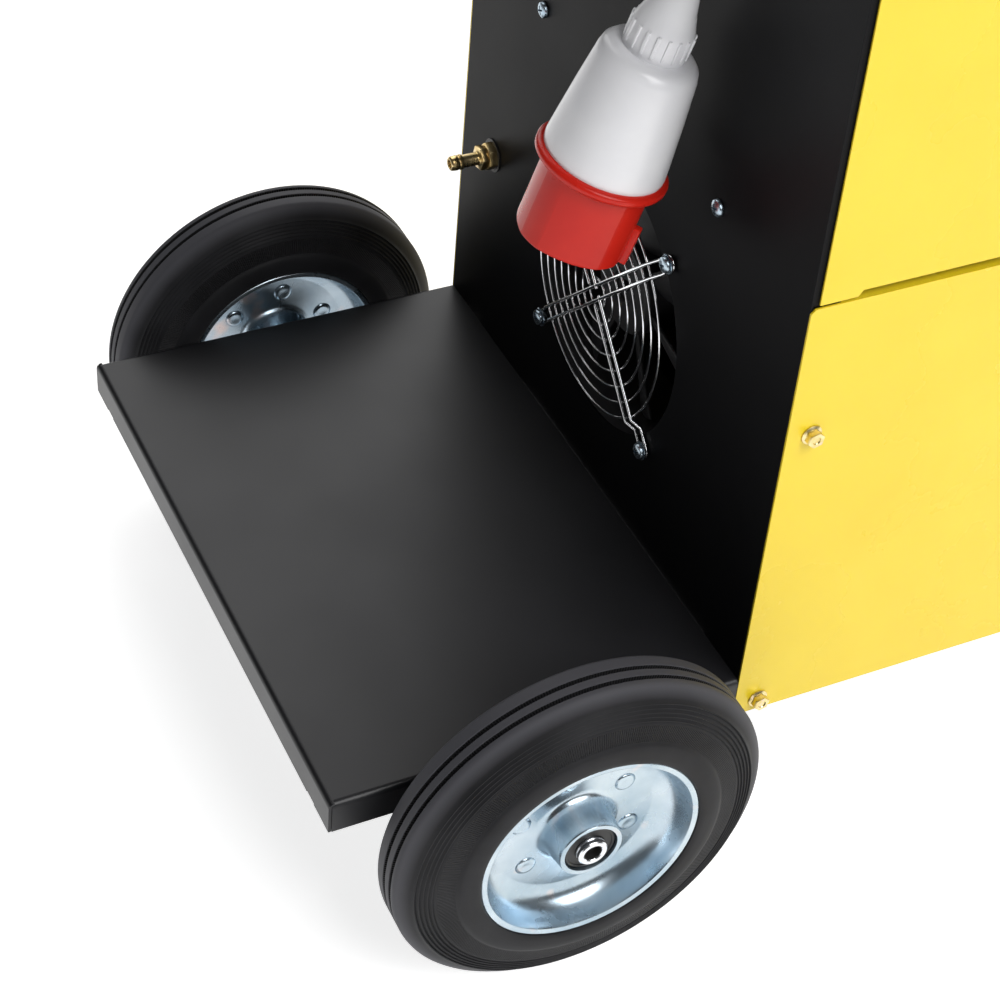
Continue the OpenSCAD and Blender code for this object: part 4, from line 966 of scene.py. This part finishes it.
easedEdges = {
    "rear_panel": 0.3, "lower_side_left": 0.35, "lower_side_right": 0.35,
    "upper_side_right": 0.35, "feeder_door": 0.35, "top_cover": 0.35, "front_panel": 0.3, "control_panel": 0.3,
    "base_tray": 0.4, "axle_brackets": 0.5, "bulkhead": 0.3, "push_handle": 0.8, "cylinder_bracket": 0.5,
    "door_hinge_fixed": 0.3, "door_hinge_moving": 0.3, "door_latch": 0.8, "spool_spindle": 0.6, "spool_hub": 0.6,
    "feed_plate": 0.5, "feed_motor": 1.0, "drive_roll": 0.3, "pressure_arm": 0.6, "pressure_roller": 0.3,
    "tension_knob": 0.5, "transformer_core": 0.6, "transformer_coils": 3.0, "choke": 1.0, "rectifier": 0.4,
    "control_board": 0.3, "fan_frame": 0.4, "gas_valve": 0.6, "caster_plates": 0.4, "caster_fork_left": 0.5,
    "caster_fork_right": 0.5, "caster_wheel_left": 0.8, "caster_wheel_right": 0.8, "voltage_knob": 0.7,
    "fine_knob": 0.7, "speed_knob": 0.7, "torch_socket": 0.5, "earth_sockets": 0.7}
# The rear panel takes the darker copy of black powder, which paints shade on it
specialMaterial = {"rear_panel": blackPowderRearShaded}
for nodeName, width in easedEdges.items():
    softened(nodeName, width, specialMaterial.get(nodeName, materialOfSlot[slotOfNode[nodeName]]))

print("platform")
platform = {"sheet": 2, "bend": 4, "lip": 25, "lipEdge": 0.4, "slit": 0.25, "endGap": 0.6, "relief": 1.5,
            "notchAt": 30, "notchHalf": 6, "notchDeep": 1.6, "beyond": 10}


def extruded(name, outline, length, place):
    # A closed outline in local X and Y, in millimetres, drawn out along local Z
    points = [(x * mm, y * mm, 0) for x, y in outline]
    obj = drawLine(name, points + points[:1])
    tidyShell(obj)
    pick(obj)
    bpy.ops.object.mode_set(mode="EDIT")
    bpy.ops.mesh.select_all(action="SELECT")
    bpy.ops.mesh.edge_face_add()
    bpy.ops.mesh.extrude_region_move(TRANSFORM_OT_translate={"value": (0, 0, length)})
    bpy.ops.object.mode_set(mode="OBJECT")
    tidyShell(obj)
    put(obj, place)
    return obj


def foldPlace(along, outward, corner):
    columns = Matrix((Vector(outward), Vector((0, 0, 1)), Vector(along))).transposed().to_4x4()
    return Matrix.Translation(Vector(corner)) @ columns


def makePlatform():
    # One folded sheet: a top, an end lip and two side lips
    low, high = lowOf("cylinder_platform"), highOf("cylinder_platform")
    bend, sheet, lip, edge = platform["bend"], platform["sheet"], platform["lip"], platform["lipEdge"]
    endGap, relief, beyond = platform["endGap"] * mm, platform["relief"] * mm, platform["beyond"] * mm
    notchAt, notchHalf = platform["notchAt"] * mm, platform["notchHalf"] * mm
    arc = [math.radians(a) for a in range(90, -1, -15)]
    outer, inner = [[(-bend + radius * math.cos(a), -bend + radius * math.sin(a)) for a in arc]
                    for radius in (bend, bend - sheet)]
    section = [(-bend - 0.01, 0)] + outer
    section += [(0, edge - lip), (-edge, -lip), (edge - sheet, -lip), (-sheet, edge - lip)]
    section += list(reversed(inner)) + [(-bend - 0.01, -sheet)]
    top = slab("top", (low.x + bend * mm, low.y, high.z - sheet * mm),
               (high.x - bend * mm, high.y - bend * mm, high.z))
    side = high.y - low.y - (sheet + platform["slit"]) * mm
    lips = [extruded("lip_end", section, high.x - low.x - 2 * endGap,
                     foldPlace((-1, 0, 0), (0, 1, 0), (high.x - endGap, high.y, high.z))),
            extruded("lip_left", section, side, foldPlace((0, 1, 0), (-1, 0, 0), (low.x, low.y, high.z))),
            extruded("lip_right", section, side, foldPlace((0, -1, 0), (1, 0, 0), (high.x, low.y + side, high.z)))]
    for x in (low.x, high.x):  # relieved where the two bends would meet
        cutter = slab("relief", (x - relief, high.y - relief, high.z - relief),
                      (x + relief, high.y + beyond, high.z + beyond))
        for part in lips:
            cutAway(part, copied(cutter, "reliefCopy", Matrix()))
        bpy.data.objects.remove(cutter)
    for x in (low.x + notchAt, high.x - notchAt):
        cutAway(lips[0], slab("notch", (x - notchHalf, high.y - notchHalf, low.z - beyond),
                              (x + notchHalf, high.y + beyond, low.z + platform["notchDeep"] * mm)))
    for part in [top] + lips:
        evenlyShaded(part)
    finishPiece(joined("cylinder_platform_full", [top] + lips), blackPowder, "chassis", "cylinder_platform",
                slot="black_powder")


makePlatform()

print("finish")
deselectAll()
